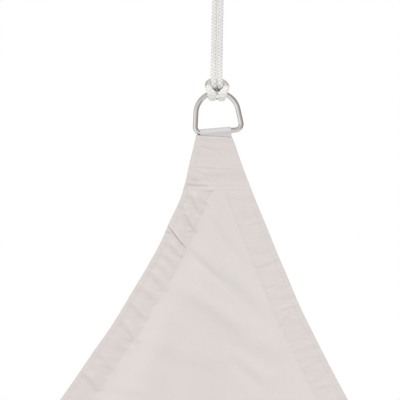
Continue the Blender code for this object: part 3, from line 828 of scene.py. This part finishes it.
def make_cloth(material):
    """One thin sheet: the front, the folded edges, and the hem's turned-in bands at the back."""
    x, z, across, down, from_edge, along = cloth_rows()
    y = cloth_depth(x, z, across, down) - CLOTH / 2 - fine_relief(x, z, from_edge, along)
    front = np.stack((x, y, z), axis=-1)
    inward = CORNERS["top"].local(x, z)[1]
    # The "layers" value paints shade: 1 over the doubled hems, which let less light through from behind.
    # Near the shown corner the cloth is single, and the value is a half there, so it is a little darker
    # towards that corner.
    layers = np.maximum(1 - ease(from_edge - HEM, -1.2, 1.2), 0.5 * (1 - ease(inward, 80, 130)))
    left_band = np.stack(hem_band(front[:, 0], front[:, HEM_COLUMNS])[::-1], axis=1)
    right_band = np.stack(hem_band(front[:, -1], front[:, -1 - HEM_COLUMNS]), axis=1)
    whole = np.concatenate((left_band, front, right_band), axis=1)
    base_band = hem_band(whole[-1], whole[-1 - BASE_HEM_ROWS], BASE_BAND_BACK)
    whole = np.concatenate((whole, base_band), axis=0)
    band = len(HEM_BAND)

    def with_bands(column, behind=None):
        """Values over the front, with a value for the bands, or else the nearest edge's."""
        settings = {"mode": "edge"} if behind is None else {"constant_values": behind}
        return np.pad(column, ((0, band), (band, band)), **settings)

    values = {
        "layers": with_bands(layers, 1.0),
        "edge": with_bands(from_edge, HEM / 2),
        "along": with_bands(along),
    }
    faces = grid_faces(*whole.shape[:2])
    cloth = new_piece("sail_panel", whole, faces, material, "sail_cloth", values)
    cells = np.cross(front[1:, :-1] - front[:-1, :-1], front[:-1, 1:] - front[:-1, :-1])
    return cloth, front, float(np.linalg.norm(cells, axis=-1).sum())


def front_depth(front, x, z):
    """How far back the cloth's front lies at places in the shown corner, where its rows are level."""
    heights = -front[:, 0, 2]
    rows = np.clip(np.searchsorted(heights, -z) - 1, 0, len(heights) - 2)
    depths = []
    for place_x, place_z, row in zip(x.ravel(), z.ravel(), rows.ravel()):
        part = (-place_z - heights[row]) / (heights[row + 1] - heights[row])
        upper = np.interp(place_x, front[row, :, 0], front[row, :, 1])
        lower = np.interp(place_x, front[row + 1, :, 0], front[row + 1, :, 1])
        depths.append(upper + part * (lower - upper))
    return np.array(depths).reshape(x.shape)


# A tuck's section, from above it to under its lip:
# (share of its width above the lip, share of its height)
TUCK_SECTION = (
    (1.0, -0.08),
    (0.85, 0.03),
    (0.65, 0.16),
    (0.45, 0.42),
    (0.28, 0.72),
    (0.16, 0.92),
    (0.07, 1.0),
    (0.02, 0.93),
    (0.0, 0.76),
    (-0.06, 0.5),
    (-0.13, 0.2),
    (-0.20, -0.15),
)
TUCK_STEPS = 90


def make_tucks(front, material):
    """Narrow laps of cloth, each with a lip that faces down."""
    tucks = []
    off_share, tall_share = np.array(TUCK_SECTION).T
    # Painted shadow under each tuck's lip, on its face that turns down.
    shade = np.tile(0.5 * ((tall_share < 0.8) & (off_share < 0.2)), (TUCK_STEPS, 1))
    share = np.linspace(0.0, 1.0, TUCK_STEPS)[:, None]
    swell = np.sin(np.pi * (share * 0.94 + 0.03)) ** 0.55
    wander = 0.25 * MM * np.sin(share * 5.2 + 0.6) * np.sin(np.pi * share)
    for number, (left, right, width, tall) in enumerate(TUCKS):
        left, right = np.array(left) * MM, np.array(right) * MM
        way = unit(right - left)
        off = off_share * width * MM * (0.35 + 0.65 * swell) + wander
        across = left[0] + share * (right[0] - left[0]) + off * way[1]
        inward = left[1] + share * (right[1] - left[1]) - off * way[0]
        x, z = TOP_TIP[0] + across, TOP_TIP[1] - inward
        y = front_depth(front, x, z) - tall_share * tall * MM * swell
        points, faces = np.stack((x, y, z), axis=-1), grid_faces(*x.shape)
        name = f"tuck_{number}"
        tucks.append(new_piece(name, points, faces, material, values=doubled(shade)))
    return tucks


STITCH_LONG = 0.0031
STITCH_PITCH = EDGE_PUCKER
THREAD = 0.00015  # half the thread's thickness

# Rings of a stitch: (share of its length from the middle, share of its thickness, rise over the cloth)
STITCH_RINGS = ((-0.5, 0.25, 0.0), (-0.36, 1.0, 0.7), (0.36, 1.0, 0.7), (0.5, 0.25, 0.0))
STITCH_SIDES = 6
TO_FRONT = np.array((0.0, -1.0, 0.0))


def at_distances(line, lengths, places):
    """Points at distances along a line whose points' own distances are known."""
    return np.column_stack([np.interp(places, lengths, line[:, part]) for part in range(3)])


def stitches_along(line):
    """Points and faces of sunk stitches along a line of points on a front surface."""
    lengths = edge_length(line)
    starts = np.arange(STITCH_PITCH / 2, lengths[-1] - STITCH_PITCH / 2, STITCH_PITCH)
    middle, before, after = (
        at_distances(line, lengths, starts + share * STITCH_LONG) for share in (0.0, -0.5, 0.5)
    )
    way = unit(after - before)
    side = unit(np.cross(way, TO_FRONT))
    points = []
    for place, wide, out in STITCH_RINGS:
        for turn in np.linspace(0.0, 2 * np.pi, STITCH_SIDES, endpoint=False):
            ring = middle + way * place * STITCH_LONG + side * math.cos(turn) * wide * THREAD
            points.append(ring + TO_FRONT * (math.sin(turn) * wide + out - 0.5) * THREAD)
    points = np.stack(points, axis=1)
    faces = grid_faces(len(STITCH_RINGS), STITCH_SIDES, wrap_columns=True)
    firsts = np.arange(len(starts)) * points.shape[1]
    return points.reshape(-1, 3), (faces + firsts[:, None, None]).reshape(-1, 4)


def stitch_mesh(name, lines, material):
    """One piece with all the stitches along some lines."""
    points, faces, so_far = [], [], 0
    for line in lines:
        some_points, some_faces = stitches_along(line)
        points.append(some_points)
        faces.append(some_faces + so_far)
        so_far += len(some_points)
    return new_piece(name, np.vstack(points), np.vstack(faces), material)


EDGE_STITCH = 0.0052  # from the edge to the outer row of stitches
SEAM_STITCH = 0.0252  # and to the inner row
PAST_TOP_PATCH = 0.001  # how far from the shown patch the rows start
PAST_LOWER_PATCH = 0.012  # and how far before a lower patch they end


def line_between(lines, place):
    """The line at a place between two numbers of an array of lines."""
    low, part = int(place), place - int(place)
    return lines[low] + part * (lines[low + 1] - lines[low])


def make_hem_stitches(front, material):
    """Two rows of stitches along every hem, from one corner patch to the next."""
    lines, columns = [], front.swapaxes(0, 1)
    below_patch = TOP_TIP[1] - front[:, 0, 2] > PATCH_LONG + PAST_TOP_PATCH
    below_patch[-2 - BASE_HEM_ROWS :] = False
    for from_edge in (EDGE_STITCH, SEAM_STITCH):
        for side in (columns, columns[::-1]):
            line = line_between(side, HEM_COLUMNS * from_edge / HEM)
            from_end = np.hypot(line[:, 0] - line[-1, 0], line[:, 2] - line[-1, 2])
            lines.append(line[below_patch & (from_end > PATCH_LONG + PAST_LOWER_PATCH)])
        line = line_between(front, len(front) - 1 - BASE_HEM_ROWS * from_edge / HEM)
        ends = [np.linalg.norm(line - line[end], axis=1) for end in (0, -1)]
        lines.append(line[np.minimum(*ends) > PATCH_LONG])
    return stitch_mesh("hem_stitches", lines, material)


# ---------------------------------------------------------------- corner pieces


def sides_near(corner_name, inward):
    """The outline's two sides at a distance in from a corner's tip, as distances across."""
    corner = CORNERS[corner_name]
    base = base_point(np.linspace(0.0, 1.0, BASE_STEPS))
    edges = {
        "top": (LEFT_EDGE, RIGHT_EDGE),
        "left": (LEFT_EDGE[::-1], base),
        "right": (base[::-1], RIGHT_EDGE[::-1]),
    }
    sides = []
    for edge in edges[corner_name]:
        across, into = corner.local(edge[:, 0], edge[:, 1])
        near = slice(0, EDGE_STEPS // 3)
        sides.append(float(np.interp(inward, into[near], across[near])))
    return min(sides), max(sides)


PATCH_ROWS = 84
PATCH_COLUMNS = 96
PATCH_STANDS = 0.00025  # of the sewn-down patch in front of the cloth
PATCH_LAP = 0.0002  # and past the cloth's sides
EASY_FROM = 0.0020  # how far before the webbing's end the patch starts to come down to the cloth
EASY = 0.0190  # and the length in which it does

# Rows of stitches on a patch, in millimetres: (across, in) from, (across, in) to
PATCH_SEAMS = (
    ((-14.6, 10.6), (4.2, 13.4)),
    ((-14.9, 10.6), (-15.6, 24.0)),
    ((-15.6, 24.0), (-17.6, 31.6)),
    ((4.6, 13.6), (8.6, 20.6)),
    ((5.4, 22.8), (6.4, 31.4)),
    ((-19.0, 32.8), (29.0, 31.8)),
    ((-6.6, 38.9), (16.0, 38.2)),
    ((-19.6, 51.0), (38.4, 47.1)),
    ((-15.4, 4.0), (17.6, 2.9)),
)
SEAM_POINTS = 40  # along each
SHADED_SPOT = (-0.0195, 0.0480, 0.0085, 0.0090)  # a faint spot of painted shade on the shown patch: (across, in, half sizes)
PATCH_LINES = ((4.0, 0.07), (6.6, -0.06), (9.4, 0.06))  # ridges beside the tip: (in, height)
PATCH_LUMPS = 0.00009
BESIDE_WEB = 0.4  # how much of the way down to the cloth the patch has come beside the webbing
RIM_DROP = 0.00020  # how far a patch's cut sides are drawn down, a little more than its lower edge
TIP_DROP = 0.0005  # and its upper edge
UPPER_LIP = (0.0008, 0.0001)  # how far the strip at its upper edge is turned back and into the sail
LOWER_LIP = (0.00015, 0.0005)  # and the one at its lower edge
# Painted shade on a patch: along its upper edge where the webbing goes in under it, beside its cut
# sides, along its lower edge, and at a spot on the shown patch
UPPER_SHADE = 0.25
SIDE_SHADE = 0.10
LOWER_SHADE = 0.06
SPOT_SHADE = 0.10


def patch_sides(corner_name, skew):
    """For each row of a patch, columns of: the distance in, the share down, and the two sides."""
    rows = []
    for down in np.linspace(0.0, 1.0, PATCH_ROWS + 1):
        inward = PATCH_INSET + down * (PATCH_LONG - PATCH_INSET)
        low, high = sides_near(corner_name, inward)
        for _ in range(3):
            low = sides_near(corner_name, inward - down * low * skew)[0]
            high = sides_near(corner_name, inward - down * high * skew)[1]
        rows.append((inward, down, low - PATCH_LAP, high + PATCH_LAP))
    return np.array(rows).T[:, :, None]


def seam_on_patch(seam, skew, across, front):
    """A line of points on a patch's front, from one (across, in) to the other."""
    start, end = np.array(seam) * MM
    line = []
    for spot in start + np.linspace(0.0, 1.0, SEAM_POINTS)[:, None] * (end - start):
        row = PATCH_ROWS * (spot[1] - PATCH_INSET) / (PATCH_LONG - PATCH_INSET - spot[0] * skew)
        near = int(min(max(row, 0), PATCH_ROWS - 1))
        if not across[near, 0] + MM < spot[0] < across[near, -1] - MM:
            continue
        upper, lower = (
            np.array([np.interp(spot[0], across[number], front[number, :, axis]) for axis in range(3)])
            for number in (near, near + 1)
        )
        line.append(upper + (row - near) * (lower - upper))
    return np.array(line)


def make_patch(corner_name, material, thread):
    """The doubling patch, raised where the webbing lies under it and lapped round the corner's sides."""
    corner, skew = CORNERS[corner_name], math.tan(PATCH_LEANS[corner_name])
    level, down, low, high = patch_sides(corner_name, skew)
    share = np.linspace(0.0, 1.0, PATCH_COLUMNS + 1)
    across = low + share * (high - low)
    inward = level - down * across * skew
    places = corner.place(across[..., None], inward[..., None])
    x, z = places[..., 0], places[..., 1]
    from_middle, from_bar = tab_local(corner_name, x, z)
    past_end = step((from_bar - TAB_LONG + EASY_FROM) / EASY)
    past_side = step((np.abs(from_middle) - WEB_WIDE / 2 - SETTLE_FROM) / SETTLE)
    settled = np.maximum(past_end, BESIDE_WEB * past_side)
    over_web = -(room_for_tab(corner_name, x, z) + PATCH_STANDS)
    cloth_front = cloth_depth(x, z, share, np.zeros_like(x)) - CLOTH / 2
    y = over_web + settled * (cloth_front - PATCH_STANDS - over_web)
    for place, tall in PATCH_LINES:
        y -= tall * MM * hump(inward - place * MM, 0.7)
    y -= PATCH_LUMPS * lumps(across, inward, 0.013, 3 + len(corner_name))
    from_side = np.minimum(share, 1 - share) * (high - low)
    rim = np.exp(-from_side / (0.5 * MM)) + 0.9 * np.exp(-(PATCH_LONG - level) / (1.2 * MM))
    y += RIM_DROP * rim + TIP_DROP * np.exp(-(level - PATCH_INSET) / (0.5 * MM))
    # Painted shade: darker along the upper edge, where the webbing goes in under it, and beside the cut
    # sides.
    shade = UPPER_SHADE * (1 - ease(inward, 0.75, 1.25))
    shade += SIDE_SHADE * np.exp(-from_side / (0.45 * MM))
    if corner_name == "top":
        y -= creased(across, inward, PATCH_CREASES)
        # A spot of painted shade on the shown patch.
        from_spot = np.hypot((across - SHADED_SPOT[0]) / SHADED_SPOT[2], (inward - SHADED_SPOT[1]) / SHADED_SPOT[3])
        shade += SPOT_SHADE * np.exp(-(from_spot**4))
    front = np.stack((x, y, z), axis=-1)
    whole = np.pad(front, ((1, 1), (2, 2), (0, 0)), mode="edge")
    hem_back = cloth_front + HEM_BACK + GAP
    for column, side, part in ((0, 0, 1.0), (1, 0, 0.5), (-2, -1, 0.5), (-1, -1, 1.0)):
        whole[1:-1, column, 1] += part * (hem_back[:, side] - y[:, side])
    whole[0], whole[-1] = whole[1], whole[-2]
    whole[0, 2:-2, 1] += UPPER_LIP[0]
    whole[-1, :, 1] += LOWER_LIP[0]
    for row, lip in ((0, UPPER_LIP), (-1, LOWER_LIP)):
        whole[row, :, [0, 2]] += lip[1] * corner.inward[:, None]
    shade = np.pad(shade, ((1, 1), (2, 2)), mode="edge")
    # Painted shade along the lower edge.
    shade[-1] = LOWER_SHADE
    name, faces = "patch_" + corner_name, grid_faces(*shade.shape)
    patch = new_piece(name + "_cloth", whole, faces, material, name, doubled(shade))
    lines = [seam_on_patch(seam, skew, across, front) for seam in PATCH_SEAMS]
    return patch, stitch_mesh(name + "_stitches", lines, thread)


def stand(points, place, turn):
    """Points drawn upright in the XZ plane, put at a plane place and turned anticlockwise."""
    cos, sin = math.cos(turn), math.sin(turn)
    points = np.asarray(points, dtype=float)
    x = points[..., 0] * cos - points[..., 2] * sin + place[0]
    z = points[..., 0] * sin + points[..., 2] * cos + place[1]
    return np.stack((x, points[..., 1], z), axis=-1)


def arc(centre, radius, start, end, count):
    """Points along a round stretch, with angles anticlockwise from the right."""
    angles = np.linspace(start, end, count)
    return [(centre[0] + radius * math.cos(a), centre[1] + radius * math.sin(a)) for a in angles]


def tangents_along(line, closed=False):
    """The way of a line at each of its points."""
    if closed:
        return unit(np.roll(line, -1, axis=0) - np.roll(line, 1, axis=0))
    return unit(np.gradient(line, axis=0))


def spokes(line, sides, closed=False):
    """Turns round a line, and the unit vectors that stand out at those turns from each of its points."""
    turns = np.linspace(0.0, 2 * np.pi, sides, endpoint=False)
    vectors, normal = [], np.array((0.0, 1.0, 0.0))
    for tangent in tangents_along(line, closed):
        normal = unit(normal - tangent * (normal @ tangent))
        beside = np.cross(tangent, normal)
        vectors.append(np.outer(np.cos(turns), normal) + np.outer(np.sin(turns), beside))
    return turns, np.array(vectors)


def even_line(line, spacing, closed=False):
    """A line of points at even distances, and its length."""
    line = np.asarray(line, dtype=float)
    if closed:
        line = np.vstack((line, line[:1]))
    lengths = edge_length(line)
    count = int(round(lengths[-1] / spacing)) + 1
    even = at_distances(line, lengths, np.linspace(0.0, lengths[-1], count))
    return (even[:-1] if closed else even), lengths[-1]


def ring_line(steps):
    """The middle of the ring's wire, with its bar along the bottom and the bar's middle at (0, 0)."""
    high = RING_TALL - RING_TOP_R
    across, down = RING_HALF - RING_CORNER_R, high - RING_CORNER_R
    between = math.hypot(across, down)
    flare = math.acos((RING_TOP_R - RING_CORNER_R) / between) - math.atan2(down, across)
    line = arc((0.0, high), RING_TOP_R, flare, math.pi - flare, 6 * steps)
    line += arc((-across, RING_CORNER_R), RING_CORNER_R, math.pi - flare, 1.5 * math.pi, 2 * steps)
    line += arc((across, RING_CORNER_R), RING_CORNER_R, -0.5 * math.pi, flare, 2 * steps)
    return np.array([(x, 0.0, z) for x, z in line])


WIRE_SIDES = 28
WIRE_STEP = 0.0007


def make_rings(material):
    """A ring of bent wire at each corner."""
    line, _ = even_line(ring_line(20), WIRE_STEP, closed=True)
    wire = line[:, None] + WIRE / 2 * spokes(line, WIRE_SIDES, closed=True)[1]
    faces = grid_faces(len(line), WIRE_SIDES, wrap_rows=True, wrap_columns=True)[:, ::-1]
    for name, (bar, _, turn) in BARS.items():
        node = "ring_" + name
        new_piece(node + "_wire", stand(wire, bar, turn), faces, material, node)


WEB_STEP = 0.0005
WEB_COLUMNS = 25
WEB_ROUND = 0.00045  # width of the strap's rounded edges
WEB_SLACK = 0.96  # thickness of a ply, as a share of its room


def make_tabs(material):
    """A strap folded round each ring's bar, its two plies running into the corner."""
    radius = WIRE / 2 + GAP + WEB / 2
    loop = arc((0.0, 0.0), radius, -math.pi + TAB_LEAVE, math.pi - TAB_LEAVE, 40)
    ply = [(-TAB_LONG, -WEB / 2), (-NECK, -WEB / 2)]
    middle = [*ply, *loop, *[(out, -back) for out, back in ply[::-1]]]
    line, length = even_line([(0.0, back, out) for out, back in middle], WEB_STEP)
    across = np.array((1.0, 0.0, 0.0))
    outward = np.cross(tangents_along(line), across)
    half, thick = WEB_WIDE / 2, WEB / 2 * WEB_SLACK
    face = [(share * (half - WEB_ROUND), thick) for share in np.linspace(-1.0, 1.0, WEB_COLUMNS)]
    rounded = half - WEB_ROUND * 0.3
    face = np.array([*face, (rounded, thick * 0.75), (half, 0.0), (rounded, -thick * 0.75)])
    section = np.vstack((face, -face))
    grid = line[:, None] + section[:, :1] * across + section[:, 1:] * outward[:, None]
    faces = grid_faces(len(line), len(section), wrap_columns=True)
    values = {
        "across": np.tile(section[:, 0] + 1.0, (len(line), 1)),
        "along": np.tile(np.linspace(0.0, length, len(line))[:, None], (1, len(section))),
    }
    # Painted shade along the top of the strap's roll round the bar.
    rolled = 0.30 * hump(grid[..., 2] - WIRE / 2 - WEB, 1.3)
    tabs = []
    for name, (_, place, turn) in BARS.items():
        points, node = stand(grid, place, turn), "tab_" + name
        inward = CORNERS[name].local(points[..., 0], points[..., 2])[1]
        # Painted shadow in the pocket, where the strap runs in under the patch's lip, added to the
        # roll's painted shade.
        values["shade"] = 0.25 * ease(inward, -0.7, 0.0) + rolled
        tabs.append(new_piece(node + "_strap", points, faces, material, node, values))
    return tabs


# ---------------------------------------------------------------- the rope


def rope_route(side):
    """The rope's right (+1) or left (-1) half, in millimetres from the ring's wire: (x, back, up)."""
    loop = LOOP_R / MM
    route = [
        (right, back, right_up) if side > 0 else (-left, back, left_up)
        for right, left, back, right_up, left_up in HITCH_ROUTE
    ]
    top = arc((0.0, (LOOP_SEAT + ROPE / 2) / MM - loop), loop, 0.0, math.pi / 2, 4)
    straight = [(STRANDS / 2 / MM, up) for up in STRAND_RISES]
    return route + [(side * out, 0.0, up) for out, up in (*straight, *SPREAD, *top)]


def smooth_line(points, steps):
    """A smooth curve through points, with a number of steps between each two."""
    points = np.asarray(points, dtype=float)
    padded = np.vstack((2 * points[0] - points[1], points, 2 * points[-1] - points[-2]))
    line = []
    for place in range(len(points) - 1):
        before, start, end, after = padded[place : place + 4]
        for t in np.linspace(0.0, 1.0, steps, endpoint=False):
            line.append(hermite(start, end, (end - before) / 2, (after - start) / 2, t))
    return np.array([*line, points[-1]])


BRAID_STRANDS = 3  # strands that run each way round
BRAID_PITCH = 0.0100  # length of rope in which a strand goes once round
BRAID_DEEP = 0.00034
YARNS = 3  # yarns side by side in a strand
ROPE_SIDES = 64
ROPE_STEP = 0.00042
FUSED_LONG = 0.0012  # length in which the rope narrows to its fused ends
FUSED_THIN = 0.72  # its thickness there, as a share of the round rope's
TIGHT_RISE = -0.0030  # rise of the rope's two tight bends, in front of the wire and under it
TIGHT_TALL = 5.5  # half their height, in millimetres
BULGE = 1.35  # how much of its half width the rope swells towards the middle there
FLAT_THIN = 0.76  # its thickness there, as a share of the round rope's
TIGHT_BRIGHT = 0.6  # how much of the painted shade between the braid's strands is lost there, where it is stretched
PRESSED = 0.0007  # how much closer to the ring's wire it is drawn there
HITCH_SHADE_LONG = 0.0150  # how far from each of its ends, round the hitch's collar and ears, the rope carries painted shade
HITCH_SHADE_FADES = 0.0060


def braid_ridge(turn, along):
    """Height of a braided surface, 0 down between its strands and 1 on their crowns."""
    one_way = BRAID_STRANDS * (turn + along / BRAID_PITCH)
    other_way = BRAID_STRANDS * (turn - along / BRAID_PITCH)
    over = (np.floor(one_way) + np.floor(other_way)) % 2 < 0.5
    own = np.where(over, one_way, other_way) % 1.0
    crossing = np.where(over, other_way, one_way) % 1.0
    round_strand = (1 - np.abs(2 * own - 1) ** 2.6) ** 0.5
    dive = (1 - np.abs(2 * crossing - 1) ** 3.2) ** 0.6
    yarn = np.abs(np.sin(np.pi * YARNS * own)) ** 0.5
    return round_strand * dive * (0.86 + 0.14 * yarn)


def make_rope(material):
    """The rope: a cow hitch on the ring, two strands, and the loop that hangs on a hook."""
    route = np.array([*rope_route(+1), *rope_route(-1)[-2::-1]])
    route[:, 0] += STRAND_SHIFT / MM * ease(route[:, 2] * MM, *SHIFT_RISE)
    line = smooth_line(route, 12) * MM
    line[0, 0] += GAP / 2
    line[-1, 0] -= GAP / 2
    middle, length = even_line(line, ROPE_STEP)
    turns, out = spokes(middle, ROPE_SIDES)
    along = np.linspace(0.0, length, len(middle))[:, None]
    from_end = np.minimum(along, length - along)
    ridge = braid_ridge(turns / (2 * np.pi), along)
    full = FUSED_THIN + (1 - FUSED_THIN) * step(from_end / FUSED_LONG)
    off = ((ROPE / 2 - BRAID_DEEP * (1 - ridge)) * full)[..., None] * out
    bend = hump(middle[:, 2:] - TIGHT_RISE, TIGHT_TALL) * (1 - ease(middle[:, 1:2], 1, 5))
    middle[:, 2:] += PRESSED * bend
    side = middle[:, :1]
    off[..., 0] *= 1 + BULGE * bend * (off[..., 0] * np.sign(side) < 0)
    off[..., 1:] *= 1 + (FLAT_THIN - 1) * bend[..., None]
    outer = (off[..., 0] * np.sign(side) + 0.3 * off[..., 2]) / (ROPE / 2)
    # Painted shade over the hitch's collar and ears, most on their outer, upper sides and least in the
    # middle.
    hitch_shade = 1 - step((from_end - HITCH_SHADE_LONG) / HITCH_SHADE_FADES)
    hitch_shade = hitch_shade * (0.15 + 0.85 * step((outer + 0.5) / 1.2)) * (0.35 + 0.65 * ease(np.abs(side), 4, 8))
    # Painted shade down between the strands, less of it at the tight bends.
    crown = 1 - (1 - ridge) * (1 - TIGHT_BRIGHT * bend)
    tube = stand(middle[:, None] + off, HITCH, ROPE_LEAN)
    faces = grid_faces(len(middle), ROPE_SIDES, wrap_columns=True)[:, ::-1]
    values = {"crown": crown, "hitch_shade": hitch_shade}
    rope = new_piece("rope_braid", tube, faces, material, "hanging_rope", values)


# ---------------------------------------------------------------- camera, light and floor

CAMERA_AT = (-0.0018, -0.2382)  # the plane place in the middle of the view
CAMERA_AWAY = 1.2
CAMERA_ROLL = math.radians(4.0)
VIEW_WIDE = 0.400


def make_camera():
    """Looks straight at the sail's plane, rolled a little, with a long lens."""
    lens = bpy.data.cameras.new("camera")
    lens.sensor_width = 36.0
    lens.lens = 36.0 * CAMERA_AWAY / VIEW_WIDE
    lens.clip_start = 0.01
    lens.clip_end = 100.0
    camera = bpy.data.objects.new("camera", lens)
    bpy.context.scene.collection.objects.link(camera)
    place = Vector((CAMERA_AT[0], -CAMERA_AWAY, CAMERA_AT[1]))
    face = Matrix.Rotation(math.pi / 2, 4, "X") @ Matrix.Rotation(CAMERA_ROLL, 4, "Z")
    camera.matrix_world = Matrix.Translation(place) @ face
    bpy.context.scene.camera = camera


# Brightness of the surroundings at shares of the way up, and of what the steel mirrors at shares
# of the way from behind on the upper right to the front on the lower left
SKY = ((0.0, 0.60), (0.45, 0.73), (0.60, 0.83), (1.0, 1.00))
MIRRORED = (
    (0.0, 0.30),
    (0.17, 0.42),
    (0.32, 0.46),
    (0.50, 0.60),
    (0.73, 0.72),
    (0.90, 0.98),
    (1.0, 1.25),
)
MIRROR_WAY = (-0.66, -0.61, -0.42)


def brightness_towards(nodes, way, stops, warmth):
    """A grey ramp from looking away from a direction to looking along it, warmer where it is dark."""
    along = nodes.add("VectorMath", operation="DOT_PRODUCT")
    nodes.feed(along.inputs[0], nodes.place("Generated"))
    nodes.feed(along.inputs[1], way)
    share = nodes.set(nodes.add("MapRange"), Value=along.outputs["Value"], From_Min=-1.0)
    ramp = nodes.set(nodes.add("ValToRGB"), Fac=share.outputs[0])
    elements = ramp.color_ramp.elements
    for place, shade in stops:
        stop = elements[0] if place == 0.0 else elements[-1] if place == 1.0 else elements.new(place)
        cool = 1 - warmth * (1 - min(shade, 1.0))
        stop.color = (shade, shade * (1 + cool) / 2, shade * cool, 1.0)
    return ramp.outputs[0]


def make_light():
    """Even white surroundings, brighter from above, with one very soft light from the upper left."""
    world = bpy.data.worlds.new("studio")
    bpy.context.scene.world = world
    nodes = Nodes(world)
    ray = nodes.add("LightPath").outputs
    sky = brightness_towards(nodes, (0.0, 0.0, 1.0), SKY, 0.02)
    mirrored = brightness_towards(nodes, MIRROR_WAY, MIRRORED, 0.24)
    seen = nodes.mix(ray["Is Glossy Ray"], sky, mirrored)
    seen = nodes.mix(ray["Is Camera Ray"], seen, (1.0, 1.0, 1.0))
    nodes.set(nodes.tree.nodes["Background"], Color=seen)
    sun_data = bpy.data.lights.new("soft_key", "SUN")
    sun_data.energy = 0.9
    sun_data.angle = math.radians(50)
    sun = bpy.data.objects.new("soft_key", sun_data)
    sun.visible_glossy = False
    sun.rotation_euler = Vector((-0.35, -0.75, 0.95)).to_track_quat("Z", "Y").to_euler()
    bpy.context.scene.collection.objects.link(sun)


def make_floor():
    """A plain pale floor below the sail."""
    half, level = 4.0, -2.6
    points = [(-half, -half, level), (half, -half, level), (half, half, level), (-half, half, level)]
    floor = new_mesh("floor", points, [(0, 1, 2, 3)])
    nodes = new_material("Pale floor")
    colour = nodes.mix(nodes.noise(nodes.place(), 3.0), (0.80, 0.80, 0.79), (0.83, 0.83, 0.82))
    floor.data.materials.append(nodes.surface(Base_Color=colour, Roughness=0.9))


make_camera()
make_rope(rope_material())
sailcloth, sewing = cloth_material(), thread_material()
panel, panel_front, panel_area = make_cloth(sailcloth)
sewn_on = [*make_tucks(panel_front, sailcloth), make_hem_stitches(panel_front, sewing)]
for name in CORNERS:
    sewn_on += make_patch(name, sailcloth, sewing)
make_rings(steel_material())
straps = make_tabs(webbing_material())
make_light()
make_floor()
bpy.context.scene.view_settings.view_transform = "Standard"
bpy.context.scene.view_settings.look = "None"
